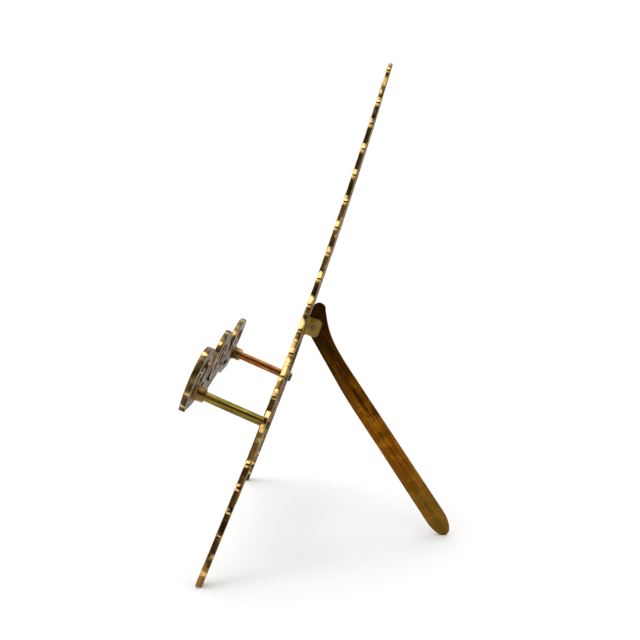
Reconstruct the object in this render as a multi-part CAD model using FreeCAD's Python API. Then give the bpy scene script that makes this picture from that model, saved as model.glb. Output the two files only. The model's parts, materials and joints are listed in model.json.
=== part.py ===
"""Folding brass music stand: openwork back panel, book rail on two posts, and a hinged prop leg.

Axes: +Z up, the reader stands on the -Y side, +X is the reader's right.
The stand's origin is on the surface it stands on, at the middle of its footprint.
All lengths are in millimetres and all angles in degrees.
"""
import FreeCAD, Part
import math
import os

V = FreeCAD.Vector

# ---- Back panel -------------------------------------------------------------
PANEL_LENGTH = 350.0          # along the bowed front face, feet to finial
FOOT_THICKNESS = 4.3          # the casting thins evenly from the feet
TOP_THICKNESS = 3.2           # to the finial
FOOT_HALF_SPACING = 105.5     # middle of a foot from the centre line
PANEL_LEAN = 20.65             # lean back from upright at the feet
PANEL_BOW = 5.5               # the top stands this much more upright than the feet

# ---- Posts and their screws -------------------------------------------------
POST_DIAMETER = 6.35
POST_HALF_SPACING = 78.5
POST_HEIGHT = 104.0           # along the panel, feet to post axis
POST_REACH = 38.8             # panel face to rail boss
POST_CANT = 2.85               # the posts rise this much from the panel's own normal
POST_PAD_RADIUS = 9.5         # solid disc in the openwork behind each post
SPIGOT_DIAMETER = 4.2         # turned-down end screwed into the rail boss
SPIGOT_LENGTH = 6.0
SCREW_DIAMETER = 3.5
SCREW_DEPTH = 10.0            # thread engaged in the post
SCREW_HEAD_DIAMETER = 7.0
SCREW_HEAD_HEIGHT = 2.3
SCREW_HOLE_CLEARANCE = 0.2    # radial, in the panel
SLOT_WIDTH = 1.1
SLOT_DEPTH = 1.0
SPOTFACE_MARGIN = 0.3         # radial, round the screw head
SPOTFACE_DEPTH = 0.30

# ---- Front rail -------------------------------------------------------------
RAIL_THICKNESS = 4.3
RAIL_HALF_WIDTH = 92.8
RAIL_RISE = 25.8              # top band's middle above the post axis
RAIL_DROP = 11.0              # lower band's middle below the post axis
BOSS_DIAMETER = 9.6
BOSS_LENGTH = 7.5
BOSS_FLARE = 3.4              # radius of the cove where a boss meets the rail
RAIL_PAD_RADIUS = 8.6

# ---- Hinge ------------------------------------------------------------------
HINGE_HEIGHT = 160.5          # along the panel, feet to hinge pin
PIN_STANDOFF = 5.37            # pin axis behind the panel's back face
PIN_DIAMETER = 3.0
PIN_RUNNING_CLEARANCE = 0.05  # radial, in the leg
PIN_HEAD_RISE = 0.35
LUG_THICKNESS = 2.4
LUG_HEIGHT = 13.0
LUG_DEPTH = 10.4               # from the panel's back to the lug's round end
LUG_CORNER = 3.2
LUG_SIDE_CLEARANCE = 0.25     # each side of the leg
FLANGE_WIDTH = 6.4
FLANGE_THICKNESS = 1.6
RIVET_DIAMETER = 2.4
RIVET_HEAD_DIAMETER = 4.4
RIVET_HEAD_HEIGHT = 1.1
HINGE_PLATE_MARGIN = 4.0      # panel metal beyond the flanges

# ---- Prop leg ---------------------------------------------------------------
LEG_THICKNESS = 3.6
LEG_WIDTH_TOP = 13.3
LEG_WIDTH_TOE = 14.3
LEG_SLOPE = 35.0              # bar from upright when the stand is open
LEG_OFFSET = -1.7             # bar's middle line from the pin, towards the panel
LEG_TOE_LENGTH = 15.0
NOSE_RADIUS = 4.6
NOSE_RISE = 13.4              # nose centre above the pin, along the panel
STOP_GAP = 0.3                # nose to panel back when open
FOLD_ANGLE = 48.0             # leg swing towards the panel
FOLD_GAP = 0.45               # leg edge to panel back when folded

# ---- Layout of the bowed panel ----------------------------------------------
RADIUS = PANEL_LENGTH / math.radians(PANEL_BOW)
LEAN0 = math.radians(PANEL_LEAN)
CENTRE = (-RADIUS * math.cos(LEAN0), RADIUS * math.sin(LEAN0))
CHORD_LEAN = math.radians(PANEL_LEAN - PANEL_BOW / 2.0)
CHORD = V(0, math.sin(CHORD_LEAN), math.cos(CHORD_LEAN))
CHORD_NORMAL = V(0, math.cos(CHORD_LEAN), -math.sin(CHORD_LEAN))


def lean_at(s):
    """Lean of the panel from upright, in radians, at a distance s along it."""
    return LEAN0 - math.radians(PANEL_BOW) * s / PANEL_LENGTH


def on_panel(s, behind=0.0, x=0.0):
    """Point at distance s up the panel and a distance behind its front face."""
    lean = lean_at(s)
    reach = RADIUS + behind
    return V(x, CENTRE[0] + reach * math.cos(lean), CENTRE[1] - reach * math.sin(lean))


def along(s):
    """Unit vector up the panel at s."""
    return V(0, math.sin(lean_at(s)), math.cos(lean_at(s)))


def outward(s):
    """Unit vector out of the panel's back face at s."""
    return V(0, math.cos(lean_at(s)), -math.sin(lean_at(s)))


def thickness_at(s):
    """Thickness of the casting at a distance s up the panel."""
    return FOOT_THICKNESS + (TOP_THICKNESS - FOOT_THICKNESS) * s / PANEL_LENGTH


def panel_slab(extra_front, extra_back, half_width, low, high):
    """Curved slab of the panel's bow, grown by extra lengths in front and behind."""
    middle = (low + high) / 2.0
    near = [on_panel(s, -extra_front, -half_width) for s in (low, middle, high)]
    far = [on_panel(s, thickness_at(s) + extra_back, -half_width) for s in (high, middle, low)]
    edges = [Part.Arc(*near).toShape(), Part.makeLine(near[2], far[0]),
             Part.Arc(*far).toShape(), Part.makeLine(far[2], near[0])]
    return Part.Face(Part.Wire(edges)).extrude(V(2.0 * half_width, 0, 0))


# ---- Flat scrollwork --------------------------------------------------------
def scale_between(value, drawn, real):
    """Piecewise-linear map that keeps the pattern tied to the sizes it meets."""
    sign = -1.0 if value < 0 else 1.0
    value = abs(value)
    for i in range(len(drawn) - 1):
        if value <= drawn[i + 1] or i == len(drawn) - 2:
            part = (value - drawn[i]) / (drawn[i + 1] - drawn[i])
            return sign * (real[i] + part * (real[i + 1] - real[i]))
    return sign * value


def smooth(points, steps=6):
    """Catmull-Rom curve through (x, y, width) points."""
    pts = [points[0]] + list(points) + [points[-1]]
    out = []
    for i in range(1, len(pts) - 2):
        p0, p1, p2, p3 = pts[i - 1], pts[i], pts[i + 1], pts[i + 2]
        for j in range(steps):
            t = j / float(steps)
            out.append(tuple(
                0.5 * (2 * b + (c - a) * t + (2 * a - 5 * b + 4 * c - d) * t * t
                       + (3 * b - a - 3 * c + d) * t ** 3)
                for a, b, c, d in zip(p0, p1, p2, p3)))
    out.append(tuple(points[-1]))
    return out


def band(points, place):
    """Face of a band of varying width with round ends, along a smooth centre line."""
    line = smooth(points)
    left, right = [], []
    for i, (x, y, w) in enumerate(line):
        a = line[max(i - 1, 0)]
        b = line[min(i + 1, len(line) - 1)]
        length = math.hypot(b[0] - a[0], b[1] - a[1])
        nx, ny = -(b[1] - a[1]) / length, (b[0] - a[0]) / length
        left.append((x + nx * w / 2, y + ny * w / 2))
        right.append((x - nx * w / 2, y - ny * w / 2))

    def tip(end, before):
        length = math.hypot(end[0] - before[0], end[1] - before[1])
        return (end[0] + (end[0] - before[0]) / length * end[2] / 2,
                end[1] + (end[1] - before[1]) / length * end[2] / 2)

    first, last = tip(line[0], line[1]), tip(line[-1], line[-2])
    side_a, side_b = Part.BSplineCurve(), Part.BSplineCurve()
    side_a.interpolate([place(*p) for p in left])
    side_b.interpolate([place(*p) for p in reversed(right)])
    edges = [side_a.toShape(),
             Part.Arc(place(*left[-1]), place(*last), place(*right[-1])).toShape(),
             side_b.toShape(),
             Part.Arc(place(*right[0]), place(*first), place(*left[0])).toShape()]
    return Part.Face(Part.Wire(edges))


def mirrored(strokes):
    """The strokes and their mirror images about the centre line."""
    out = []
    for stroke in strokes:
        out.append(stroke)
        if any(abs(p[0]) > 0.01 for p in stroke):
            out.append([(-x, y, w) for x, y, w in stroke])
    return out


def fuse_all(shapes):
    """One solid from overlapping solids."""
    body = shapes[0].multiFuse(shapes[1:]).removeSplitter()
    solids = body.Solids
    if len(solids) != 1:
        raise ValueError("pattern is in %d pieces" % len(solids))
    return solids[0]


# Sizes the panel's pattern was drawn at: hinge plate, posts and feet, and rows up the panel.
DRAWN_X = [0.0, 15.0, 78.5, 105.5]
DRAWN_S = [0.0, 104.0, 160.5, 350.0]

# Bands of the panel as (x from the centre line, distance up the panel, width).
PANEL_BANDS = [
    # leg of the panel, from the foot up to the post
    [(105.5, 4.2, 8.6), (103.4, 16, 10.6), (98.6, 32, 11.2), (92, 50, 10.8), (86.5, 68, 10.8),
     (82, 86, 12.5), (78.5, 103.5, 15)],
    # leaves on the leg's outer edge
    [(100, 26, 7), (105, 19.5, 5)], [(96, 40, 7), (101.5, 34, 5)],
    [(91, 54, 7), (96.5, 48, 5)], [(86, 68, 7), (92, 62.5, 5)],
    [(82.5, 83, 7), (88.5, 77.5, 5)],
    # curl inside the leg
    [(85, 74, 7), (74, 68, 7), (63, 60, 6.4), (62, 49, 5.6), (70, 46.5, 5), (72.5, 52.5, 4.4)],
    # side member, from the post up to the crest
    [(78.5, 103.5, 13), (73.5, 118, 10.5), (64.5, 131, 9.6), (53, 143, 9.2), (42, 156, 8.8),
     (33, 171, 8.4), (27.5, 189, 8), (25, 208, 7.8), (24, 228, 7.6), (23.2, 248, 7.6),
     (22, 268, 7.4), (20, 288, 7.2), (16.5, 306, 7), (10.5, 323, 7), (2.5, 339.5, 7)],
    # leaves on the side member's outer edge
    [(70, 126, 7), (76, 120.5, 5)], [(61, 138, 7), (67.5, 133, 5)],
    [(48.5, 151, 7), (55, 146.5, 5)], [(37.5, 166, 7), (44, 161.5, 5)],
    [(30, 183, 6.5), (36, 178.5, 4.8)], [(26.3, 201, 6), (31.5, 196.5, 4.6)],
    [(24.6, 219, 6), (29.6, 214.5, 4.4)], [(23.8, 237, 6), (28.6, 232.5, 4.4)],
    [(23, 255, 6), (27.6, 250.5, 4.4)], [(21.5, 273, 6), (26.4, 269, 4.4)],
    [(19.3, 291, 6), (24.4, 287, 4.4)], [(15.8, 308, 6), (21.2, 304.5, 4.4)],
    [(10.5, 323, 6), (16.2, 319.5, 4.4)],
    # arm from the hinge plate out to the post, and the links beside it
    [(6, 163, 10), (20, 158, 9), (33, 149, 8.2), (43.5, 139, 7.6), (52, 128, 7.2), (60, 119, 7),
     (70, 112, 7)],
    [(10, 172, 8), (22, 170.5, 7.5), (34, 173, 7)],
    [(78, 108, 7), (68, 101, 6.4), (58, 100, 6), (52, 107, 5.2), (56, 113, 4.4)],
    # lyre
    [(0, 186, 10), (8, 189, 8), (14, 197.5, 7), (15.2, 210, 6.6), (12.5, 226, 6.2),
     (9, 241, 6), (9.6, 252.5, 5.6), (13, 260.3, 5.4), (20.3, 265.6, 5.2)],
    [(10, 248, 5.6), (0, 245, 6.2)],
    [(0, 188.3, 3.1), (0, 245.7, 3.1)], [(5.3, 190.2, 2.5), (5.3, 246.4, 2.5)],
    [(13.6, 220.5, 5.5), (23.6, 224.3, 5.9)],
    # stem and finial
    [(0, 243.2, 7.3), (0, 290, 6.6), (0, 320, 7.6), (0, 344.5, 10)],
    [(0, 272, 5.6), (6.5, 279, 5.6), (11, 296, 5.4), (13, 310, 5.4)],
    [(2, 326, 7), (8.5, 336, 5.6), (10, 343, 4)],
    # apron between the legs
    [(78.5, 98, 9), (64, 87, 9), (46, 84, 8.6), (29, 89, 8), (14, 86, 8), (0, 77, 9)],
    [(24, 89, 7), (15.5, 100, 6.6), (18, 115, 6.2), (30, 120.5, 5.6), (36, 112, 5),
     (29.5, 106, 4.2)],
    [(0, 79, 9), (0, 58, 7)], [(2, 74, 7), (11, 67, 6), (13.5, 58.5, 4.4)],
    [(46, 84, 7), (37, 73, 6.6), (27, 68.5, 5.6), (21, 74, 4.6)],
]


def panel_place(x, s):
    """Pattern point, given in drawn sizes, on a plane in front of the panel."""
    real_x = [0.0, plate_half_width(), POST_HALF_SPACING, FOOT_HALF_SPACING]
    real_s = [0.0, POST_HEIGHT, HINGE_HEIGHT, PANEL_LENGTH]
    x = scale_between(x, DRAWN_X, real_x)
    s = scale_between(s, DRAWN_S, real_s)
    face = on_panel(s, 0.0, x)
    depth = (face - on_panel(0.0)).dot(CHORD_NORMAL)
    return face - CHORD_NORMAL * (depth + 30.0)


def lug_inner():
    """Inner face of a lug from the centre line."""
    return LEG_THICKNESS / 2.0 + LUG_SIDE_CLEARANCE


def rivet_x():
    """Rivet axis from the centre line, at the middle of the flange."""
    return lug_inner() + LUG_THICKNESS + FLANGE_WIDTH / 2.0


def plate_half_width():
    """Half width of the plain plate in the panel that the lugs are riveted to."""
    return lug_inner() + LUG_THICKNESS + FLANGE_WIDTH + HINGE_PLATE_MARGIN


def post_axis(side):
    """Start of a post's axis on the panel's front face, and its direction."""
    lean = lean_at(POST_HEIGHT) + math.radians(POST_CANT)
    return (on_panel(POST_HEIGHT, 0.0, side * POST_HALF_SPACING),
            V(0, -math.cos(lean), math.sin(lean)))


def make_panel():
    """Openwork panel cut from the bowed slab, with its holes and flat feet."""
    faces = [band(stroke, panel_place) for stroke in mirrored(PANEL_BANDS)]
    solids = [face.extrude(CHORD_NORMAL * 60.0) for face in faces]
    for side in (-1, 1):
        centre = on_panel(POST_HEIGHT, 0.0, side * POST_HALF_SPACING)
        solids.append(Part.makeCylinder(POST_PAD_RADIUS, 60.0, centre - CHORD_NORMAL * 30,
                                        CHORD_NORMAL))
    half = plate_half_width()
    low = HINGE_HEIGHT - LUG_HEIGHT / 2.0 - HINGE_PLATE_MARGIN
    high = HINGE_HEIGHT + NOSE_RISE + NOSE_RADIUS + HINGE_PLATE_MARGIN
    corners = [V(x, 0, 0) + on_panel(s) - CHORD_NORMAL * 30
               for x, s in ((-half, low), (half, low), (half * 0.8, high), (-half * 0.8, high))]
    plate = Part.Face(Part.makePolygon(corners + corners[:1]))
    solids.append(plate.extrude(CHORD_NORMAL * 60.0))
    prisms = fuse_all(solids)
    wide = FOOT_HALF_SPACING * 2.0
    panel = prisms.common(panel_slab(0.0, 0.0, wide, -20.0, PANEL_LENGTH + 20.0))
    floor = Part.makeBox(2 * wide, 200, 60, V(-wide, -100, -60))
    cutters = [floor]
    for side in (-1, 1):
        start, run = post_axis(side)
        cutters.append(Part.makeCylinder(SCREW_DIAMETER / 2 + SCREW_HOLE_CLEARANCE, 20.0,
                                         start - run * 12.0, run))
        seat = head_seat(side)
        cutters.append(Part.makeCylinder(SCREW_HEAD_DIAMETER / 2 + SPOTFACE_MARGIN, 10.0,
                                         seat, run * -1))
        x = side * rivet_x()
        cutters.append(Part.makeCylinder(RIVET_DIAMETER / 2, 20.0,
                                         on_panel(HINGE_HEIGHT, -8.0, x), outward(HINGE_HEIGHT)))
    return panel.cut(cutters).Solids[0]


def head_seat(side):
    """Where a post screw's head bears, just under the panel's back face."""
    start, run = post_axis(side)
    through = (thickness_at(POST_HEIGHT) - SPOTFACE_DEPTH) / math.cos(math.radians(POST_CANT))
    return start - run * through


def make_post(side):
    """Plain round post, coped to the panel's bow, with its front spigot and tapped end."""
    start, run = post_axis(side)
    bar = Part.makeCylinder(POST_DIAMETER / 2, POST_REACH + 4.0, start - run * 4.0, run)
    spigot = Part.makeCylinder(SPIGOT_DIAMETER / 2, SPIGOT_LENGTH + 1.0,
                               start + run * (POST_REACH - 1.0), run)
    tapped = Part.makeCylinder(SCREW_DIAMETER / 2, SCREW_DEPTH + 12.0, start - run * 12.0, run)
    behind = panel_slab(0.0, 20.0, POST_HALF_SPACING + POST_DIAMETER * 2,
                        POST_HEIGHT - 40, POST_HEIGHT + 40)
    return bar.fuse(spigot).cut([behind, tapped]).Solids[0]


def make_post_screw(side):
    """Slotted cheese-head screw from the panel's back into a post."""
    seat = head_seat(side)
    run = post_axis(side)[1]
    head = Part.makeCylinder(SCREW_HEAD_DIAMETER / 2, SCREW_HEAD_HEIGHT, seat, run * -1)
    top = [e for e in head.Edges if abs((e.CenterOfMass - seat).dot(run) + SCREW_HEAD_HEIGHT) < 1e-6]
    head = head.makeFillet(0.5, top)
    length = (seat - post_axis(side)[0]).Length + SCREW_DEPTH
    shank = Part.makeCylinder(SCREW_DIAMETER / 2, length, seat, run)
    across = V(0, run.z, -run.y)
    slot = Part.makeBox(SCREW_HEAD_DIAMETER * 2, SLOT_WIDTH, SLOT_DEPTH * 2)
    slot.translate(V(-SCREW_HEAD_DIAMETER, -SLOT_WIDTH / 2, -SLOT_DEPTH))
    frame = FreeCAD.Matrix(1, 0, 0, 0, 0, across.y, -run.y, 0, 0, across.z, -run.z, 0)
    slot = slot.transformGeometry(frame)
    slot.translate(seat - run * SCREW_HEAD_HEIGHT)
    return head.fuse(shank).cut(slot).Solids[0]


# ---- Rail -------------------------------------------------------------------
DRAWN_RAIL_X = [0.0, 77.6, 95.5]
DRAWN_RAIL_H = [0.0, 11.0, 27.0]

# Bands of the rail as (x, height above the post axis, width).
RAIL_BANDS = [
    # side scroll
    [(83, -10.5, 6.4), (91.5, -1, 8), (95.5, 12, 8.4), (88, 22.5, 8.6), (74, 26, 8.4),
     (59, 22.5, 8), (50.5, 11.5, 7.6), (56, 0.5, 7.2), (68, -2, 7), (77.6, 3.5, 6.4),
     (74, 12, 5.4), (67, 11, 4.4)],
    # lower band
    [(84, -9.5, 6), (68, -10.5, 6.4), (50, -10, 6.6), (33, -5.5, 6.6), (18, -9, 6.6),
     (0, -13, 7.4)],
    # link to the middle
    [(53, 6, 7), (42, 2, 6.6), (33, 7, 6.6), (26, 14.5, 6.2), (18, 13, 6)],
    [(40, 1, 6), (34, -5, 6)],
    # middle lobe
    [(0, 27, 8.4), (12.5, 23.5, 8), (18.5, 12, 7.4), (13, 0, 6.8), (0, -10, 7)],
    [(0, -11, 6), (0, 26, 5.4)],
]


def rail_place(x, h):
    """Pattern point, given in drawn sizes, on the rail's back face."""
    drawn = DRAWN_RAIL_H if h >= 0 else [0.0, 11.0, 15.0]
    real = [0.0, RAIL_DROP, RAIL_RISE] if h >= 0 else [0.0, RAIL_DROP, RAIL_DROP + 4.0]
    x = scale_between(x, DRAWN_RAIL_X, [0.0, POST_HALF_SPACING, RAIL_HALF_WIDTH])
    h = scale_between(h, drawn, real)
    start, run = post_axis(0)
    rise = V(0, run.z, -run.y)
    return start + run * (POST_REACH + BOSS_LENGTH) + rise * h + V(x, 0, 0)


def make_rail():
    """Openwork rail with a coved boss behind it for each post."""
    run = post_axis(0)[1]
    rise = V(0, run.z, -run.y)
    solids = [band(stroke, rail_place).extrude(run * RAIL_THICKNESS)
              for stroke in mirrored(RAIL_BANDS)]
    radius = BOSS_DIAMETER / 2
    for side in (-1, 1):
        start = post_axis(side)[0] + run * POST_REACH
        solids.append(Part.makeCylinder(RAIL_PAD_RADIUS, RAIL_THICKNESS,
                                        start + run * BOSS_LENGTH, run))

        def at(r, n):
            return start + rise * r + run * n

        knee = BOSS_LENGTH - BOSS_FLARE
        turn = BOSS_FLARE * (1 - math.sqrt(0.5))
        deep = BOSS_LENGTH + RAIL_THICKNESS * 0.5
        profile = [Part.makeLine(at(0, 0), at(radius, 0)),
                   Part.makeLine(at(radius, 0), at(radius, knee)),
                   Part.Arc(at(radius, knee), at(radius + turn, BOSS_LENGTH - turn),
                            at(radius + BOSS_FLARE, BOSS_LENGTH)).toShape(),
                   Part.makeLine(at(radius + BOSS_FLARE, BOSS_LENGTH),
                                 at(radius + BOSS_FLARE, deep)),
                   Part.makeLine(at(radius + BOSS_FLARE, deep), at(0, deep)),
                   Part.makeLine(at(0, deep), at(0, 0))]
        solids.append(Part.Face(Part.Wire(profile)).revolve(start, run, 360))
    rail = fuse_all(solids)
    holes = [Part.makeCylinder(SPIGOT_DIAMETER / 2, SPIGOT_LENGTH + 2.0,
                               post_axis(side)[0] + run * (POST_REACH - 1.0), run)
             for side in (-1, 1)]
    return rail.cut(holes).Solids[0]


# ---- Hinge ------------------------------------------------------------------
def pin_point(x=0.0):
    """Point on the hinge pin's axis."""
    return on_panel(HINGE_HEIGHT, thickness_at(HINGE_HEIGHT) + PIN_STANDOFF, x)


def from_pin(u, v, x=0.0):
    """Point at u behind and v above the pin, in the panel's own directions."""
    return pin_point(x) + outward(HINGE_HEIGHT) * u + along(HINGE_HEIGHT) * v


def make_lug(side):
    """Angle lug: an upright ear beside the leg and a flange riveted to the panel."""
    inner = side * lug_inner()
    back = -PIN_STANDOFF - 2.0
    end = LUG_DEPTH - PIN_STANDOFF
    half = LUG_HEIGHT / 2.0
    r = LUG_CORNER
    bend = r * (1 - math.sqrt(0.5))
    p = [from_pin(u, v, inner) for u, v in
         ((back, -half), (end - r, -half), (end - bend, -half + bend), (end, -half + r),
          (end, half - r), (end - bend, half - bend), (end - r, half), (back, half))]
    edges = [Part.makeLine(p[0], p[1]), Part.Arc(p[1], p[2], p[3]).toShape(),
             Part.makeLine(p[3], p[4]), Part.Arc(p[4], p[5], p[6]).toShape(),
             Part.makeLine(p[6], p[7]), Part.makeLine(p[7], p[0])]
    ear = Part.Face(Part.Wire(edges)).extrude(V(side * LUG_THICKNESS, 0, 0))
    foot = -PIN_STANDOFF + FLANGE_THICKNESS
    q = [from_pin(u, v, inner)
         for u, v in ((back, -half), (foot, -half), (foot, half), (back, half))]
    flange = Part.Face(Part.makePolygon(q + q[:1])).extrude(
        V(side * (LUG_THICKNESS + FLANGE_WIDTH), 0, 0))
    panel = panel_slab(20.0, 0.0, 60.0, HINGE_HEIGHT - 60, HINGE_HEIGHT + 60)
    x = side * rivet_x()
    rivet = Part.makeCylinder(RIVET_DIAMETER / 2, 40.0, on_panel(HINGE_HEIGHT, -8.0, x),
                              outward(HINGE_HEIGHT))
    bore = Part.makeCylinder(PIN_DIAMETER / 2, 60.0, pin_point(-30.0), V(1, 0, 0))
    return ear.fuse(flange).removeSplitter().cut([panel, rivet, bore]).Solids[0]


def make_rivet(side):
    """Round-head rivet through a flange and the panel, peened flush in front."""
    x = side * rivet_x()
    normal = outward(HINGE_HEIGHT)
    grip = thickness_at(HINGE_HEIGHT) + FLANGE_THICKNESS
    base = on_panel(HINGE_HEIGHT, grip, x)
    shank = Part.makeCylinder(RIVET_DIAMETER / 2, grip,
                              on_panel(HINGE_HEIGHT, 0.0, x), normal)
    radius = RIVET_HEAD_DIAMETER / 2.0
    ball = (radius ** 2 + RIVET_HEAD_HEIGHT ** 2) / (2 * RIVET_HEAD_HEIGHT)
    sphere = Part.makeSphere(ball, base + normal * (RIVET_HEAD_HEIGHT - ball))
    keep = Part.makeCylinder(radius + 1.0, RIVET_HEAD_HEIGHT + 1.0, base, normal)
    return shank.fuse(sphere.common(keep)).Solids[0]


def make_pin():
    """Hinge pin, riveted over at both ends."""
    half = lug_inner() + LUG_THICKNESS + PIN_HEAD_RISE
    pin = Part.makeCylinder(PIN_DIAMETER / 2, 2 * half, pin_point(-half), V(1, 0, 0))
    return pin.makeFillet(PIN_HEAD_RISE * 0.9, [e for e in pin.Edges if e.Closed])


# ---- Leg --------------------------------------------------------------------
def bar_frame():
    """Directions along the open leg's bar, and across it away from the panel."""
    slope = math.radians(LEG_SLOPE)
    return V(0, math.sin(slope), -math.cos(slope)), V(0, math.cos(slope), math.sin(slope))


def make_leg():
    """Flat bar with an elbow: the nose above the pin stops against the panel's back."""
    run, across = bar_frame()
    pin = pin_point(-LEG_THICKNESS / 2.0)
    half_toe = LEG_WIDTH_TOE / 2.0
    # the toe is half an ellipse; its lowest point rests on the floor
    dip = math.hypot(LEG_TOE_LENGTH * run.z, half_toe * across.z)
    bar = (pin.z + LEG_OFFSET * across.z - dip) / -run.z

    def at(k, c):
        return pin + run * k + across * c

    def local(u, v):
        return from_pin(u, v, -LEG_THICKNESS / 2.0)

    rest = NOSE_RADIUS + STOP_GAP - PIN_STANDOFF
    nose_back = local(rest - NOSE_RADIUS, NOSE_RISE)
    nose_top = local(rest, NOSE_RISE + NOSE_RADIUS)
    nose_front = local(rest + NOSE_RADIUS * math.cos(math.radians(8)),
                       NOSE_RISE + NOSE_RADIUS * math.sin(math.radians(8)))
    outer_top = LEG_OFFSET + LEG_WIDTH_TOP / 2.0
    outer_toe = LEG_OFFSET + half_toe
    outer = [nose_front, at(-1.6, 12.1), at(3.7, 9.8), at(9.3, 7.9), at(15.3, 6.5),
             at(24.0, 5.5), at(33.0, outer_top + 0.1)]
    steps = (0.2, 0.4, 0.6, 0.8, 1.0)
    outer += [at(33.0 + (bar - 33.0) * t, outer_top + (outer_toe - outer_top) * t) for t in steps]
    heel = PIN_STANDOFF - STOP_GAP
    slack = math.radians(90.0 - (90.0 - LEG_SLOPE - math.degrees(lean_at(HINGE_HEIGHT)))
                         - FOLD_ANGLE)
    inner = []
    for k in (4.0, 10.0, 17.0, 24.0, 31.0, 38.0, 46.0, 56.0):
        room = (PIN_STANDOFF - FOLD_GAP) + k * math.sin(slack) - 0.02 * k
        width = LEG_WIDTH_TOP + (LEG_WIDTH_TOE - LEG_WIDTH_TOP) * k / bar
        reach = width / 2.0 - LEG_OFFSET
        blend = min(1.0, k / 56.0)
        inner.append(at(k, -min(room, reach * (0.94 + 0.06 * blend))))
    for t in (0.55, 0.75, 1.0):
        width = LEG_WIDTH_TOP + (LEG_WIDTH_TOE - LEG_WIDTH_TOP) * t
        inner.append(at(bar * t, LEG_OFFSET - width / 2.0))
    middle = at(bar, LEG_OFFSET)
    toe = [middle + across * (half_toe * math.cos(a)) + run * (LEG_TOE_LENGTH * math.sin(a))
           for a in [math.radians(d) for d in range(0, 181, 15)]]
    sides = []
    for points in (outer, toe, inner[::-1]):
        curve = Part.BSplineCurve()
        curve.interpolate(points)
        sides.append(curve.toShape())
    back_side = local(-heel, 0.0)
    round_mid = pin + (inner[0] - pin + back_side - pin).normalize() * heel
    edges = sides + [Part.Arc(inner[0], round_mid, back_side).toShape(),
                     Part.makeLine(back_side, nose_back),
                     Part.Arc(nose_back, nose_top, nose_front).toShape()]
    plate = Part.Face(Part.Wire(edges)).extrude(V(LEG_THICKNESS, 0, 0))
    hole = Part.makeCylinder(PIN_DIAMETER / 2 + PIN_RUNNING_CLEARANCE, 60.0, pin_point(-30.0),
                             V(1, 0, 0))
    return plate.cut(hole).Solids[0]


def main():
    """Build every piece, put the origin under the middle of the stand, and write the files."""
    pieces = {
        "back_panel": make_panel(),
        "front_rail": make_rail(),
        "post_left": make_post(-1),
        "post_right": make_post(1),
        "post_screws": Part.makeCompound([make_post_screw(-1), make_post_screw(1)]),
        "hinge_lug_left": make_lug(-1),
        "hinge_lug_right": make_lug(1),
        "lug_rivets": Part.makeCompound([make_rivet(-1), make_rivet(1)]),
        "hinge_pin": make_pin(),
        "prop_leg": make_leg(),
    }
    box = Part.makeCompound(list(pieces.values())).optimalBoundingBox(True)
    shift = V(-(box.XMin + box.XMax) / 2, -(box.YMin + box.YMax) / 2, -box.ZMin)
    os.makedirs("parts", exist_ok=True)
    for name, shape in pieces.items():
        moved = shape.copy()
        moved.translate(shift)
        moved.exportStep("parts/%s.step" % name)
        print("%-16s %d solid(s), %9.1f mm3, valid %s" % (name, len(moved.Solids), moved.Volume,
                                                         moved.isValid()))
    pin = pin_point() + shift
    print("size %.2f x %.2f x %.2f" % (box.XLength, box.YLength, box.ZLength))
    print("hinge pin at %.4f %.4f %.4f" % (pin.x, pin.y, pin.z))
    print("layout origin at %.4f %.4f %.4f" % (shift.x, shift.y, shift.z))


main()
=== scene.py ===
"""Folding brass music stand, dressed as aged castings, turned rods and a patinated prop leg.

Axes: +Z up, the reader stands on the -Y side, +X is the reader's right. Blender lengths are
in metres. The pattern tables and profile sizes are in millimetres, like the stand's drawings,
and are turned into metres where a surface is placed.
"""
from __future__ import annotations

import json
import logging
import math
from dataclasses import dataclass, field
from enum import Enum
from typing import Protocol, Sequence, Union

import bmesh
import bpy
import numpy as np
from mathutils import Matrix, Vector

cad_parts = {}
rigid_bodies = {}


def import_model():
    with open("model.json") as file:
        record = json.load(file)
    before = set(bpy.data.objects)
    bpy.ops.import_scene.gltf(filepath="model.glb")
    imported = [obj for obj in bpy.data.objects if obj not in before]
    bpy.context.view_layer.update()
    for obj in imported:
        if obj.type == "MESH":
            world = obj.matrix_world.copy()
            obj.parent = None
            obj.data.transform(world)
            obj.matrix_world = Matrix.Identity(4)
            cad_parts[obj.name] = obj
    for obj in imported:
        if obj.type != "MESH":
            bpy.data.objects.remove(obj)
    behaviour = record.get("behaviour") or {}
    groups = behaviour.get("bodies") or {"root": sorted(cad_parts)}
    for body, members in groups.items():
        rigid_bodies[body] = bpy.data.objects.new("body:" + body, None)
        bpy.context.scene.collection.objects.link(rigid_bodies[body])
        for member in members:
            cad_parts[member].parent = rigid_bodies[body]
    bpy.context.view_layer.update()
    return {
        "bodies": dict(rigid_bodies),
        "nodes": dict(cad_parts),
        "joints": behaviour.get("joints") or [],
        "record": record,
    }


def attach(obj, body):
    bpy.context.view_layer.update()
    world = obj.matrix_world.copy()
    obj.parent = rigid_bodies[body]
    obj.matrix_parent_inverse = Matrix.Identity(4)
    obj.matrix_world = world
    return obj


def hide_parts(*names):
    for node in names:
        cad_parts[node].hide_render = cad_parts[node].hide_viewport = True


LOG = logging.getLogger("music_stand")
MM = 0.001
SMOOTH_ANGLE = math.radians(38.0)

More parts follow.
